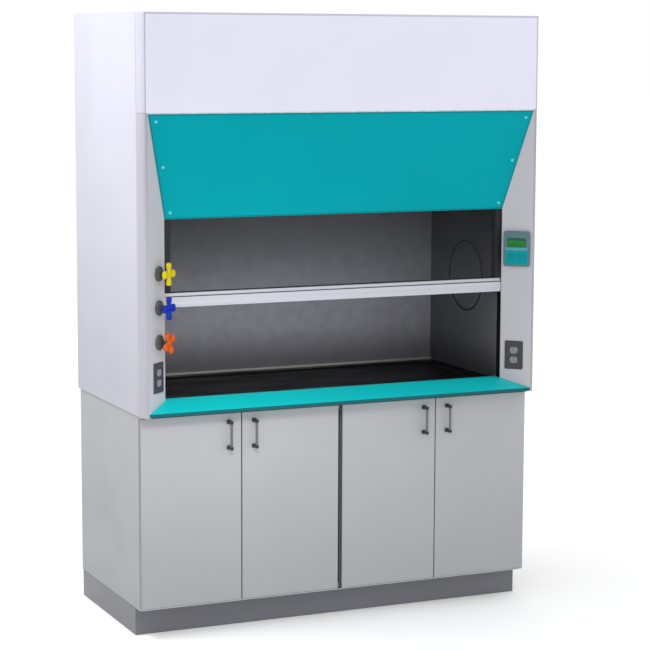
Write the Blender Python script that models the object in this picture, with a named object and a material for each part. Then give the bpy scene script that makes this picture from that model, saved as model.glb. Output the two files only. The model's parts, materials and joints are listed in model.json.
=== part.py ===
"""A bench fume hood on two base cabinets.

Metres, +Z up. The origin is on the floor under the middle of the hood, +X points to the
hood's right as someone standing in front of it sees it, and +Y points to the wall behind.
Each object is one piece of the hood. Pieces that move hang from an empty on their joint.
"""
import math

import bmesh
import bpy
from mathutils import Matrix, Vector

# Driving dimensions of the hood
HOOD_WIDTH = 1.66
HOOD_DEPTH = 0.80
HEIGHT = 2.35
HOOD_BOTTOM = 0.858
PANEL = 0.018            # side panels, roof, cabinet boards
SKIN = 0.003             # folded steel sheet
LINER = 0.006            # chamber lining board
GAP = 0.0003             # between pieces that touch
REVEAL = 0.001           # between panels that are only side by side

# Rounded front corner and the slanted inner face of the two posts
NOSE_WIDTH = 0.0165
NOSE_DEPTH = 0.062
NOSE_STEPS = 8
POST_FLAT = 0.006
OPENING_WIDTH = 1.43     # clear width between the posts
SLANT_DEPTH = 0.084
POST_RETURN = 0.0042

# Worktop and sill, above the hood's bottom
WORKTOP_THICKNESS = 0.042
WORKTOP_RIM = 0.045
WORKTOP_DISH = 0.006
SILL_LIP_RISE = 0.004
SILL_FRONT_RISE = 0.016
SILL_CREST_RISE = 0.050
SILL_LANDING_RISE = 0.052
SILL_DEPTH = 0.118
REAR_STRIP_HEIGHT = 0.010
REAR_STRIP_DEPTH = 0.016

# Opening above the sill, and the fascias over it
OPENING_HEIGHT = 0.679
LOWER_FASCIA_HEIGHT = 0.396
LOWER_FASCIA_GAP = 0.004
LOWER_FASCIA_THICKNESS = 0.005
FASCIA_RETURN = 0.030

# Chamber
PLENUM = 0.100           # from the baffle's face to the hood's back
BAFFLE_SLOT = 0.030
BAFFLE_SPLIT_RISE = 0.700
BAFFLE_LEAN_HEIGHT = 0.280
BAFFLE_LEAN_DEPTH = 0.250
CEILING_DROP = 0.170
ACCESS_RADIUS = 0.140
ACCESS_COVER_RADIUS = 0.163
ACCESS_SETBACK = 0.380
ACCESS_RISE = 0.393
LIGHT_END_ROOM = 0.115
LIGHT_WIDTH = 0.12
LIGHT_SETBACK = 0.17
LIGHT_HOUSING_HEIGHT = 0.065
LIGHT_HOUSING_EDGE = 0.015
COLLAR_RADIUS = 0.125
COLLAR_WALL = 0.0025
COLLAR_FROM_BACK = 0.200

# Sash, as it stands part open
SASH_OPEN = 0.3475       # from the sill's landing to the sash
SASH_SETBACK = 0.0925
SASH_THICKNESS = 0.024
SASH_OVERLAP = 0.021     # behind the lower fascia when the sash is shut
SASH_STOP_ROOM = 0.0055
SASH_SILL_ROOM = 0.0035
STILE_IN_VIEW = 0.026
SASH_TOP_RAIL = 0.030
RAIL_HEIGHT = 0.054
RAIL_LIP = 0.0125
RAIL_GROOVE = 0.002
RAIL_GROOVE_DEPTH = 0.008
RAIL_PROUD = 0.006
RAIL_END_GAP = 0.0015
GLASS = 0.006
GLASS_IN_GROOVE = 0.007

# Sash tracks and the toothed belts that tie the sash to its counterweights
TRACK_SIDE_ROOM = 0.002
TRACK_FACE_ROOM = 0.002
TRACK_WALL = 0.002
TRACK_DEPTH = 0.019      # from the post's inner edge to the web
SLOT_WIDTH = 0.014
SLOT_ROOM = 0.006
LUG_HEIGHT = 0.030
LUG_BELOW_TOP = 0.012
LUG_THICKNESS = 0.0085
BELT_FROM_WEB = 0.018
BELT_WIDTH = 0.014
BELT_THICKNESS = 0.0017
PULLEY_RADIUS = 0.028
PULLEY_FLANGE = 0.0015
PULLEY_FLANGE_RISE = 0.0035
PULLEY_ROOM = 0.0335     # from a pulley's belt surface to the roof or the sash track
SHAFT_RADIUS = 0.006
IDLER_RISE = 0.100
BORE_DEPTH = 0.0085
BORE_CLEARANCE = 0.00015
WEIGHT_LENGTH = 0.450
WEIGHT_ROOM = 0.090      # over an idler, with the weight at its lowest
WEIGHT_WIDTH = 0.055
WEIGHT_FRONT = 0.012     # in front of the belt
WEIGHT_BACK = 0.031      # behind the belt

# Services on the slanted faces: in from the front edge, and up from the worktop
VALVE_PLACE = 0.076
VALVE_RISES = (0.492, 0.3645, 0.235)
VALVE_FLANGE_RADIUS = 0.0285
VALVE_NECK_RADIUS = 0.012
VALVE_NECK = 0.020
VALVE_BODY_RADIUS = 0.010
VALVE_BODY_DEPTH = 0.022
SPINDLE_RADIUS = 0.005
SPINDLE_DEPTH = 0.015
SPINDLE_CLEARANCE = 0.0001
HANDLE_HUB_RADIUS = 0.0105
HANDLE_STANDOFF = 0.037
HANDLE_THICKNESS = 0.014
HANDLE_REACH = 0.0435
HANDLE_ARM = 0.0098
HANDLE_TURNS = (0.0, 0.0, 28.0)
SOCKET_PLACE = 0.069
SOCKET_RISE = 0.103
SOCKET_WIDTH = 0.074
SOCKET_TALL = 0.114
SOCKET_THICKNESS = 0.0045
SOCKET_CORNER = 0.004
OUTLET_PITCH = 0.039
OUTLET_WIDTH = 0.033
OUTLET_TALL = 0.029
OUTLET_CORNER = 0.010
OUTLET_PROUD = 0.0012
OUTLET_DEPTH = 0.003
OUTLET_SLOTS = ((-0.0064, 0.008), (0.0064, 0.0065))
OUTLET_SLOT_WIDTH = 0.0024
OUTLET_SLOT_DROP = 0.003
EARTH_RAISE = 0.008
EARTH_RADIUS = 0.0025
PANEL_PLACE = 0.062
PANEL_RISE = 0.5315
PANEL_WIDTH = 0.107
PANEL_TALL = 0.140
PANEL_THICKNESS = 0.014
PANEL_CORNER = 0.006
SCREEN_WIDTH = 0.076
SCREEN_TALL = 0.036
SCREEN_RAISE = 0.0257
SCREEN_RECESS = 0.0025
BUTTON_WIDTH = 0.018
BUTTON_TALL = 0.013
BUTTON_CORNER = 0.003
BUTTON_PITCH = 0.025
BUTTON_DROP = 0.0300
BUTTON_POCKET = 0.006
BUTTON_PROUD = 0.0016
BUTTON_TRAVEL = 0.001
BUTTON_ROOM = 0.0004

# Base cabinets
BASE_INSET = 0.009
PLINTH_HEIGHT = 0.105
PLINTH_SETBACK = 0.140
PLINTH_BACK = 0.010
CABINET_BACK = 0.008
SHELF = 0.016
SHELF_HEIGHT = 0.470
SHELF_SETBACK = 0.040
DOOR_SETBACK = 0.064
DOOR_THICKNESS = 0.020
DOOR_FOOT_GAP = 0.0115   # over the plinth
DOOR_HEAD_GAP = 0.011    # under the hood
DOOR_MIDDLE_GAP = 0.017  # between the two cabinets' doors
DOOR_PAIR_GAP = 0.003
DOOR_BACK_GAP = 0.0025
DOOR_EDGE = 0.0012
PIVOT_INSET = 0.007
PIN_RADIUS = 0.003
PIN_LENGTH = 0.010
PIN_CLEARANCE = 0.0001
STRIP_THICKNESS = 0.003
STRIP_GAP = 0.0015
STRIP_SETBACK = 0.0025
PULL_EDGE = 0.050        # from a door's free edge to its handle
PULL_DROP = 0.027        # from a door's top to its handle
PULL_LENGTH = 0.112
PULL_STANDOFF = 0.034
PULL_POST_WIDTH = 0.012
PULL_POST_HEIGHT = 0.013
PULL_BAR_RADIUS = 0.005

# Derived places
HALF = HOOD_WIDTH / 2
FRONT = -HOOD_DEPTH / 2
BACK = HOOD_DEPTH / 2
INSIDE = HALF - PANEL
BASE_HALF = HALF - BASE_INSET
POST_INNER = OPENING_WIDTH / 2
POST_OUTER = HALF - NOSE_WIDTH - POST_FLAT
WORKTOP_TOP = HOOD_BOTTOM + WORKTOP_THICKNESS
WORKTOP_FRONT = FRONT + SLANT_DEPTH + POST_RETURN + REVEAL
SILL_LANDING = HOOD_BOTTOM + SILL_LANDING_RISE
LOWER_FASCIA_BOTTOM = SILL_LANDING + OPENING_HEIGHT
FASCIA_BOTTOM = LOWER_FASCIA_BOTTOM + LOWER_FASCIA_HEIGHT
BAFFLE_FACE = BACK - PLENUM
CEILING = HEIGHT - CEILING_DROP
COLLAR_MIDDLE = BACK - COLLAR_FROM_BACK
ACCESS_MIDDLE = FRONT + ACCESS_SETBACK
ACCESS_HEIGHT = WORKTOP_TOP + ACCESS_RISE
SASH_FRONT = FRONT + SASH_SETBACK
SASH_BACK = SASH_FRONT + SASH_THICKNESS
SASH_MIDDLE = (SASH_FRONT + SASH_BACK) / 2
SASH_BOTTOM = SILL_LANDING + SASH_OPEN
SASH_TOP = SASH_BOTTOM + OPENING_HEIGHT + SASH_OVERLAP
RAIL_TOP = SASH_BOTTOM + RAIL_HEIGHT
SASH_UP = LOWER_FASCIA_BOTTOM - RAIL_TOP - SASH_STOP_ROOM
SASH_DOWN = SASH_OPEN - SASH_SILL_ROOM
STILE_INNER = POST_INNER - STILE_IN_VIEW
TRACK_WEB = POST_INNER + TRACK_DEPTH
TRACK_FRONT = SASH_FRONT - TRACK_FACE_ROOM - TRACK_WALL
TRACK_BACK = SASH_BACK + TRACK_FACE_ROOM + TRACK_WALL
SASH_HALF = TRACK_WEB - TRACK_WALL - TRACK_SIDE_ROOM
BELT_OFFSET = TRACK_WEB + BELT_FROM_WEB
BELT_SIDE = BELT_WIDTH / 2
BELT_INNER_RADIUS = PULLEY_RADIUS + GAP
BELT_OUTER_RADIUS = BELT_INNER_RADIUS + BELT_THICKNESS
SHAFT_BACK = SASH_MIDDLE + BELT_OUTER_RADIUS
SHAFT_HEIGHT = HEIGHT - PANEL - PULLEY_RADIUS - PULLEY_ROOM / 2
TRACK_TOP = SHAFT_HEIGHT - PULLEY_RADIUS
IDLER_HEIGHT = WORKTOP_TOP + IDLER_RISE
WEIGHT_BOTTOM = IDLER_HEIGHT + PULLEY_RADIUS + SASH_UP + WEIGHT_ROOM
LUG_TOP = SASH_TOP - LUG_BELOW_TOP
LUG_BACK = SHAFT_BACK - BELT_OUTER_RADIUS - GAP
VALVE_HEIGHTS = [WORKTOP_TOP + rise for rise in VALVE_RISES]
CABINET_FRONT = FRONT + DOOR_SETBACK + DOOR_THICKNESS + DOOR_BACK_GAP
CABINET_BOTTOM = PLINTH_HEIGHT + GAP
CABINET_TOP = HOOD_BOTTOM - GAP
DOOR_FRONT = FRONT + DOOR_SETBACK
DOOR_BOTTOM = PLINTH_HEIGHT + DOOR_FOOT_GAP
DOOR_TOP = HOOD_BOTTOM - DOOR_HEAD_GAP
DOOR_OUTER = BASE_HALF
DOOR_INNER = DOOR_MIDDLE_GAP / 2
DOOR_MEETING = (DOOR_OUTER + DOOR_INNER) / 2
PIVOT_BACK = DOOR_FRONT + PIVOT_INSET
PULL_BOTTOM = DOOR_TOP - PULL_DROP - PULL_LENGTH

SIDES = (("left", -1), ("right", 1))
ROUND = 24
SMALL_ROUND = 16

# Where an outline's two coordinates and its depth go, for each direction it is extruded in
ALONG = {
    "x": lambda a, b, depth: (depth, a, b),
    "y": lambda a, b, depth: (a, depth, b),
    "z": lambda a, b, depth: (a, b, depth),
}


def finish(name, color, roughness, metallic=0.0, alpha=1.0):
    """A plain material of one colour."""
    material = bpy.data.materials.new(name)
    material.use_nodes = True
    shader = material.node_tree.nodes["Principled BSDF"]
    shader.inputs["Base Color"].default_value = (*color, 1.0)
    shader.inputs["Roughness"].default_value = roughness
    shader.inputs["Metallic"].default_value = metallic
    shader.inputs["Alpha"].default_value = alpha
    return material


def finishes():
    """Every finish on the hood, by name."""
    return {
        "white": finish("white_enamel", (0.80, 0.80, 0.90), 0.35),
        "grey": finish("grey_enamel", (0.48, 0.49, 0.52), 0.4),
        "teal": finish("teal_enamel", (0.01, 0.37, 0.43), 0.35),
        "liner": finish("liner_board", (0.12, 0.12, 0.13), 0.55),
        "epoxy": finish("black_epoxy", (0.006, 0.007, 0.008), 0.45),
        "aluminium": finish("satin_aluminium", (0.62, 0.62, 0.66), 0.35, 0.9),
        "dark_track": finish("dark_track", (0.05, 0.05, 0.055), 0.4, 0.6),
        "glass": finish("sash_glass", (0.85, 0.90, 0.90), 0.05, 0.0, 0.15),
        "steel": finish("steel", (0.45, 0.45, 0.47), 0.4, 1.0),
        "iron": finish("cast_iron", (0.10, 0.10, 0.11), 0.7, 0.6),
        "belt": finish("belt_rubber", (0.02, 0.02, 0.02), 0.8),
        "strip": finish("strip_steel", (0.42, 0.40, 0.36), 0.4, 0.3),
        "dark_plastic": finish("dark_plastic", (0.09, 0.09, 0.11), 0.45),
        "bezel": finish("bezel_plastic", (0.22, 0.36, 0.42), 0.4),
        "screen": finish("screen", (0.05, 0.30, 0.12), 0.15),
        "key": finish("key_plastic", (0.02, 0.30, 0.34), 0.45),
        "yellow": finish("yellow_plastic", (0.62, 0.50, 0.03), 0.4),
        "blue": finish("blue_plastic", (0.01, 0.03, 0.33), 0.4),
        "orange": finish("orange_plastic", (0.62, 0.12, 0.02), 0.4),
        "lamp": finish("lamp_diffuser", (0.85, 0.85, 0.82), 0.3),
    }


def add(name, mesh_data, material, smooth=False):
    """Turn a bmesh into a named object, with its faces pointing out."""
    bmesh.ops.recalc_face_normals(mesh_data, faces=mesh_data.faces)
    mesh = bpy.data.meshes.new(name)
    mesh_data.to_mesh(mesh)
    mesh_data.free()
    if smooth:
        mesh.shade_smooth()
        mesh.set_sharp_from_angle(angle=math.radians(35))
    if material:
        mesh.materials.append(material)
    piece = bpy.data.objects.new(name, mesh)
    bpy.context.scene.collection.objects.link(piece)
    return piece


def loft(name, low, high, material, smooth=False):
    """A closed solid between two loops of points that run the same way."""
    solid = bmesh.new()
    first = [solid.verts.new(point) for point in low]
    last = [solid.verts.new(point) for point in high]
    solid.faces.new(first)
    solid.faces.new(last[::-1])
    for i in range(len(first)):
        j = (i + 1) % len(first)
        solid.faces.new((first[i], first[j], last[j], last[i]))
    return add(name, solid, material, smooth)


def prism(name, outline, along, span, material, smooth=False):
    """A closed outline extruded along an axis, over a span of that axis."""
    place = ALONG[along]
    low = [place(a, b, span[0]) for a, b in outline]
    high = [place(a, b, span[1]) for a, b in outline]
    return loft(name, low, high, material, smooth)


def box(name, x, y, z, material):
    """A block from its three spans."""
    low, high = sorted(x), sorted(y)
    outline = [(low[0], high[0]), (low[1], high[0]), (low[1], high[1]), (low[0], high[1])]
    return prism(name, outline, "z", sorted(z), material)


def band(name, outer, inner, along, span, material, smooth=False):
    """A ring between two loops with as many points each, extruded along an axis."""
    place = ALONG[along]
    ring = bmesh.new()
    loops = [
        [ring.verts.new(place(a, b, depth)) for a, b in outline]
        for outline, depth in ((outer, span[0]), (outer, span[1]), (inner, span[1]), (inner, span[0]))
    ]
    count = len(outer)
    for this, following in zip(loops, loops[1:] + loops[:1]):
        for i in range(count):
            j = (i + 1) % count
            ring.faces.new((this[i], this[j], following[j], following[i]))
    return add(name, ring, material, smooth)


def turned(name, profile, material, steps=ROUND, hollow=False):
    """A profile of (radius, height) pairs turned about the local Z axis.

    A hollow profile closes on itself and makes a ring. Any other starts and ends on the axis.
    """
    solid = bmesh.new()
    rings = []
    for radius, height in profile:
        if radius == 0:
            rings.append([solid.verts.new((0, 0, height))] * steps)
            continue
        turn = [2 * math.pi * i / steps for i in range(steps)]
        rings.append([solid.verts.new((radius * math.cos(t), radius * math.sin(t), height))
                      for t in turn])
    pairs = list(zip(rings, rings[1:]))
    if hollow:
        pairs.append((rings[-1], rings[0]))
    for this, following in pairs:
        for i in range(steps):
            j = (i + 1) % steps
            corners = dict.fromkeys((this[i], this[j], following[j], following[i]))
            solid.faces.new(tuple(corners))
    return add(name, solid, material, smooth=True)


def sheet(path, thickness):
    """The outline of a folded sheet: a path, and the same path a thickness to its right."""
    points = [Vector(point) for point in path]
    normals = []
    for start, end in zip(points, points[1:]):
        run = (end - start).normalized()
        normals.append(Vector((run.y, -run.x)))
    offset = []
    for i, point in enumerate(points):
        before = normals[max(i - 1, 0)]
        after = normals[min(i, len(normals) - 1)]
        middle = (before + after).normalized()
        offset.append(point + middle * (thickness / middle.dot(after)))
    return [tuple(point) for point in points] + [tuple(point) for point in reversed(offset)]


def rounded(width, tall, radius, steps=3):
    """A rectangle about the origin with rounded corners."""
    outline = []
    corners = ((1, 1, 0), (-1, 1, 90), (-1, -1, 180), (1, -1, 270))
    for sign_x, sign_y, start in corners:
        for i in range(steps + 1):
            turn = math.radians(start + 90 * i / steps)
            outline.append((sign_x * (width / 2 - radius) + radius * math.cos(turn),
                            sign_y * (tall / 2 - radius) + radius * math.sin(turn)))
    return outline


def bake(piece):
    """Give a piece the mesh that its modifiers make."""
    graph = bpy.context.evaluated_depsgraph_get()
    mesh = bpy.data.meshes.new_from_object(piece.evaluated_get(graph))
    piece.modifiers.clear()
    piece.data = mesh


def combine(piece, tools, operation):
    """Cut other solids out of a piece, or join them to it, and remove them."""
    for tool in tools:
        change = piece.modifiers.new(operation.lower(), "BOOLEAN")
        change.operation = operation
        change.solver = "EXACT"
        change.object = tool
    bake(piece)
    for tool in tools:
        bpy.data.objects.remove(tool)
    return piece


def cut(piece, *tools):
    return combine(piece, tools, "DIFFERENCE")


def join(piece, *tools):
    return combine(piece, tools, "UNION")


def soften(piece, width):
    """Take the sharp edge off a piece."""
    edge = piece.modifiers.new("edge", "BEVEL")
    edge.width = width
    edge.segments = 1
    edge.limit_method = "ANGLE"
    bake(piece)
    return piece


def stand(piece, matrix):
    """Put a piece that was made about the origin in its place."""
    piece.matrix_world = matrix
    return piece


def joint(name, place, *pieces):
    """An empty on a joint's axis, with the pieces that move about it as its children."""
    pivot = bpy.data.objects.new(name, None)
    pivot.location = place
    bpy.context.scene.collection.objects.link(pivot)
    for piece in pieces:
        piece.parent = pivot
        piece.matrix_parent_inverse = Matrix.Translation(-Vector(place))
    return pivot


def rod(name, start, end, radius, material, steps=SMALL_ROUND):
    """A round bar between two points."""
    start, end = Vector(start), Vector(end)
    length = (end - start).length
    piece = turned(name, ((0, 0), (radius, 0), (radius, length), (0, length)), material, steps)
    piece.data.transform(Matrix.Translation(start) @ (end - start).to_track_quat("Z", "Y")
                         .to_matrix().to_4x4())
    return piece


def mirrored(outline, side):
    """An outline drawn for the right-hand side, for either side."""
    return [(side * a, b) for a, b in outline]


def slant_plane(y):
    """How far the plane of a post's slanted face is from the middle, at a depth."""
    share = (y - FRONT) / SLANT_DEPTH
    return POST_OUTER + share * (POST_INNER - POST_OUTER)


def slant_place(side, place, height):
    """The frame on a slanted face: X to the viewer's right, Y up, Z out of the face."""
    run = Vector((POST_INNER - POST_OUTER, SLANT_DEPTH, 0)).normalized()
    right = Vector((-run.x, -side * run.y, 0))
    up = Vector((0, 0, 1))
    out = right.cross(up)
    point = Vector((side * (POST_OUTER + run.x * place), FRONT + run.y * place, height))
    frame = Matrix((right, up, out)).transposed().to_4x4()
    return Matrix.Translation(point) @ frame


# Base

def plinth(paint):
    depth = (FRONT + PLINTH_SETBACK, BACK - PLINTH_BACK)
    outer = [(-BASE_HALF, depth[0]), (BASE_HALF, depth[0]), (BASE_HALF, depth[1]), (-BASE_HALF, depth[1])]
    middle = sum(depth) / 2
    inner = [(x - math.copysign(PANEL, x), y - math.copysign(PANEL, y - middle)) for x, y in outer]
    band("plinth", outer, inner, "z", (0, PLINTH_HEIGHT), paint["grey"])


def cabinet(word, side, paint):
    """An open-fronted carcass with one fixed shelf."""
    outer, inner = side * BASE_HALF, side * GAP
    carcass = box(f"{word}_cabinet", (outer, inner), (CABINET_FRONT, BACK), (CABINET_BOTTOM, CABINET_TOP),
                  paint["grey"])
    room_x = (outer - side * PANEL, inner + side * PANEL)
    room_y = (CABINET_FRONT - PANEL, BACK - CABINET_BACK)
    lower = box("lower_room", room_x, room_y, (CABINET_BOTTOM + PANEL, SHELF_HEIGHT), None)
    upper = box("upper_room", room_x, room_y, (SHELF_HEIGHT + SHELF, CABINET_TOP - PANEL), None)
    ahead = box("shelf_setback", room_x, (CABINET_FRONT - PANEL, CABINET_FRONT + SHELF_SETBACK),
                (SHELF_HEIGHT - SHELF, SHELF_HEIGHT + 2 * SHELF), None)
    cut(carcass, lower, upper, ahead)


def door_plan():
    """Each door's name, its hinged edge, its free edge and which way it opens."""
    free = DOOR_PAIR_GAP / 2
    return (
        ("left_outer", -DOOR_OUTER, -DOOR_MEETING - free),
        ("left_inner", -DOOR_INNER, -DOOR_MEETING + free),
        ("right_inner", DOOR_INNER, DOOR_MEETING - free),
        ("right_outer", DOOR_OUTER, DOOR_MEETING + free),
    )


def pivot_of(hinged, free):
    """The middle of a door's pivot pins, on plan."""
    return hinged + math.copysign(PIVOT_INSET, free - hinged)


def doors(paint):
    for word, hinged, free in door_plan():
        leaf = box(f"{word}_door", (hinged, free), (DOOR_FRONT, DOOR_FRONT + DOOR_THICKNESS),
                   (DOOR_BOTTOM, DOOR_TOP), paint["grey"])
        soften(leaf, DOOR_EDGE)
        pivot_x = pivot_of(hinged, free)
        bore = PIN_RADIUS + PIN_CLEARANCE
        ends = ((DOOR_BOTTOM - PIN_LENGTH, DOOR_BOTTOM + PIN_LENGTH + REVEAL),
                (DOOR_TOP - PIN_LENGTH - REVEAL, DOOR_TOP + PIN_LENGTH))
        holes = [rod("pivot_hole", (pivot_x, PIVOT_BACK, low), (pivot_x, PIVOT_BACK, high), bore, None)
                 for low, high in ends]
        cut(leaf, *holes)
        pull = door_pull(word, free + math.copysign(PULL_EDGE, hinged - free), paint)
        joint(f"{word}_door_pivot", (pivot_x, PIVOT_BACK, DOOR_BOTTOM), leaf, pull)


def door_pull(word, x, paint):
    """A bar between two square posts."""
    front = DOOR_FRONT - PULL_STANDOFF
    half = PULL_POST_WIDTH / 2
    ends = (PULL_BOTTOM, PULL_BOTTOM + PULL_LENGTH - PULL_POST_HEIGHT)
    lower, upper = [box(f"{word}_handle", (x - half, x + half), (front, DOOR_FRONT - GAP),
                        (z, z + PULL_POST_HEIGHT), paint["steel"]) for z in ends]
    middle = front + PULL_POST_WIDTH / 2
    overlap = PULL_POST_HEIGHT / 2
    bar = rod("bar", (x, middle, ends[0] + overlap), (x, middle, ends[1] + overlap), PULL_BAR_RADIUS, None)
    return join(lower, bar, upper)


def pivot_rails(paint):
    """Two strips on the cabinets' front edges, whose pins carry the doors."""
    depth = (DOOR_FRONT + STRIP_SETBACK, CABINET_FRONT - GAP)
    bottom_plate = DOOR_BOTTOM - STRIP_GAP
    top_plate = DOOR_TOP + STRIP_GAP
    strips = (("lower", (bottom_plate - STRIP_THICKNESS, bottom_plate), DOOR_BOTTOM + PIN_LENGTH),
              ("upper", (top_plate, top_plate + STRIP_THICKNESS), DOOR_TOP - PIN_LENGTH))
    for word, span, tip in strips:
        strip = box(f"{word}_pivot_rail", (-DOOR_OUTER, DOOR_OUTER), depth, span, paint["steel"])
        root = sum(span) / 2
        pins = [rod("pin", (pivot_of(hinged, free), PIVOT_BACK, min(root, tip)),
                    (pivot_of(hinged, free), PIVOT_BACK, max(root, tip)), PIN_RADIUS, None)
                for _, hinged, free in door_plan()]
        join(strip, *pins)


# Hood shell

def nose():
    """The rounded front corner, from the side panel round to the front."""
    turns = [math.radians(90 * i / NOSE_STEPS) for i in range(NOSE_STEPS + 1)]
    return [(HALF - NOSE_WIDTH + NOSE_WIDTH * math.cos(turn), FRONT + NOSE_DEPTH - NOSE_DEPTH * math.sin(turn))
            for turn in turns]


def side_panel(word, side, paint):
    panel = box(f"{word}_side_panel", (side * INSIDE, side * HALF), (FRONT + NOSE_DEPTH + GAP, BACK),
                (HOOD_BOTTOM, HEIGHT), paint["white"])
    bores = [rod("bearing", (side * (INSIDE - BORE_DEPTH), SHAFT_BACK, z),
                 (side * (INSIDE + BORE_DEPTH), SHAFT_BACK, z), SHAFT_RADIUS + BORE_CLEARANCE, None)
             for z in (SHAFT_HEIGHT, IDLER_HEIGHT)]
    cut(panel, *bores)


def post(word, side, paint):
    """A folded post: rounded corner, narrow front, slanted inner face and a short return."""
    slant_end = FRONT + SLANT_DEPTH
    path = nose() + [(POST_OUTER, FRONT), (POST_INNER, slant_end), (POST_INNER, slant_end + POST_RETURN)]
    piece = prism(f"{word}_post", mirrored(sheet(path, SKIN), side), "z",
                  (HOOD_BOTTOM, FASCIA_BOTTOM - GAP), paint["white"])
    if side < 0:
        holes = []
        for height in VALVE_HEIGHTS:
            hole = turned("hole", ((0, -SKIN * 3), (VALVE_BODY_RADIUS + GAP, -SKIN * 3),
                                   (VALVE_BODY_RADIUS + GAP, SKIN * 2), (0, SKIN * 2)), None, SMALL_ROUND)
            holes.append(stand(hole, slant_place(side, VALVE_PLACE, height)))
        bpy.context.view_layer.update()
        cut(piece, *holes)


def corner_trim(word, side, paint):
    outline = nose() + [(HALF - NOSE_WIDTH, FRONT + NOSE_DEPTH)]
    prism(f"{word}_corner_trim", mirrored(outline, side), "z", (FASCIA_BOTTOM, HEIGHT), paint["white"])


def fascias(paint):
    reach = HALF - NOSE_WIDTH - GAP
    inner = FRONT + FASCIA_RETURN
    pan = sheet([(inner, FASCIA_BOTTOM), (FRONT, FASCIA_BOTTOM), (FRONT, HEIGHT), (inner, HEIGHT)], SKIN)
    prism("upper_fascia", pan, "x", (-reach, reach), paint["white"])
    top = FASCIA_BOTTOM - LOWER_FASCIA_GAP
    lean = SLANT_DEPTH / (FASCIA_BOTTOM - LOWER_FASCIA_BOTTOM)
    top_front = FRONT + REVEAL + LOWER_FASCIA_GAP * lean
    bottom_front = FRONT + SLANT_DEPTH
    corners = ((top_front, top), (bottom_front, LOWER_FASCIA_BOTTOM),
               (bottom_front + LOWER_FASCIA_THICKNESS, LOWER_FASCIA_BOTTOM),
               (top_front + LOWER_FASCIA_THICKNESS, top))
    loops = [[(sign * (slant_plane(y) - REVEAL), y, z) for y, z in corners] for sign in (-1, 1)]
    loft("lower_fascia", loops[0], loops[1], paint["teal"])


def roof_and_back(paint):
    reach = INSIDE - GAP
    box("back_panel", (-reach, reach), (BACK - LINER, BACK), (HOOD_BOTTOM, HEIGHT), paint["white"])
    roof = box("roof_panel", (-reach, reach), (FRONT + FASCIA_RETURN + GAP, BACK - LINER - GAP),
               (HEIGHT - PANEL, HEIGHT), paint["white"])
    hole = rod("duct_hole", (0, COLLAR_MIDDLE, HEIGHT - 2 * PANEL), (0, COLLAR_MIDDLE, HEIGHT + PANEL),
               COLLAR_RADIUS + REVEAL, None, ROUND)
    cut(roof, hole)


def exhaust_collar(paint):
    inner = COLLAR_RADIUS - COLLAR_WALL
    bottom = CEILING + GAP + LINER + GAP
    tube = turned("exhaust_collar", ((COLLAR_RADIUS, bottom), (COLLAR_RADIUS, HEIGHT), (inner, HEIGHT),
                                     (inner, bottom)), paint["steel"], ROUND, hollow=True)
    stand(tube, Matrix.Translation((0, COLLAR_MIDDLE, 0)))


# Chamber

def worktop(paint):
    """A slab with a shallow dish inside its rim."""
    reach = INSIDE - GAP
    slab = box("worktop", (-reach, reach), (WORKTOP_FRONT, BACK - LINER - GAP), (HOOD_BOTTOM + GAP, WORKTOP_TOP),
               paint["epoxy"])
    dish_half = POST_INNER - WORKTOP_RIM
    dish_y = (FRONT + SILL_DEPTH + WORKTOP_RIM, BAFFLE_FACE - WORKTOP_RIM)
    dish = box("dish", (-dish_half, dish_half), dish_y, (WORKTOP_TOP - WORKTOP_DISH, WORKTOP_TOP + PANEL), None)
    cut(slab, dish)


def sill(paint):
    """A folded sill whose ends follow the posts' slanted faces."""
    crest = FRONT + SLANT_DEPTH
    back = FRONT + SILL_DEPTH
    path = [(FRONT, HOOD_BOTTOM + SILL_LIP_RISE), (FRONT, HOOD_BOTTOM + SILL_FRONT_RISE),
            (crest, HOOD_BOTTOM + SILL_CREST_RISE), (back, SILL_LANDING), (back, WORKTOP_TOP + GAP)]
    piece = prism("sill", sheet(path, SKIN), "x", (-POST_OUTER, POST_OUTER), paint["teal"])
    ends = []
    for _, side in SIDES:
        start = FRONT - PANEL
        outline = [(slant_plane(start) - REVEAL, start), (POST_INNER - REVEAL, crest),
                   (POST_INNER - REVEAL, back + PANEL), (HOOD_WIDTH, back + PANEL), (HOOD_WIDTH, start)]
        ends.append(prism("end", mirrored(outline, side), "z", (HOOD_BOTTOM, SILL_LANDING + PANEL), None))
    cut(piece, *ends)


def liner(word, side, paint):
    board = box(f"{word}_liner", (side * POST_INNER, side * (POST_INNER + LINER)),
                (TRACK_BACK + GAP, BACK - LINER - GAP), (WORKTOP_TOP + GAP, CEILING), paint["liner"])
    opening = rod("access", (side * (POST_INNER - LINER), ACCESS_MIDDLE, ACCESS_HEIGHT),
                  (side * (POST_INNER + 2 * LINER), ACCESS_MIDDLE, ACCESS_HEIGHT), ACCESS_RADIUS, None, ROUND)
    cut(board, opening)
    rod(f"{word}_access_cover", (side * (POST_INNER - GAP), ACCESS_MIDDLE, ACCESS_HEIGHT),
        (side * (POST_INNER - GAP - SKIN), ACCESS_MIDDLE, ACCESS_HEIGHT), ACCESS_COVER_RADIUS, paint["liner"], ROUND)


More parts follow.
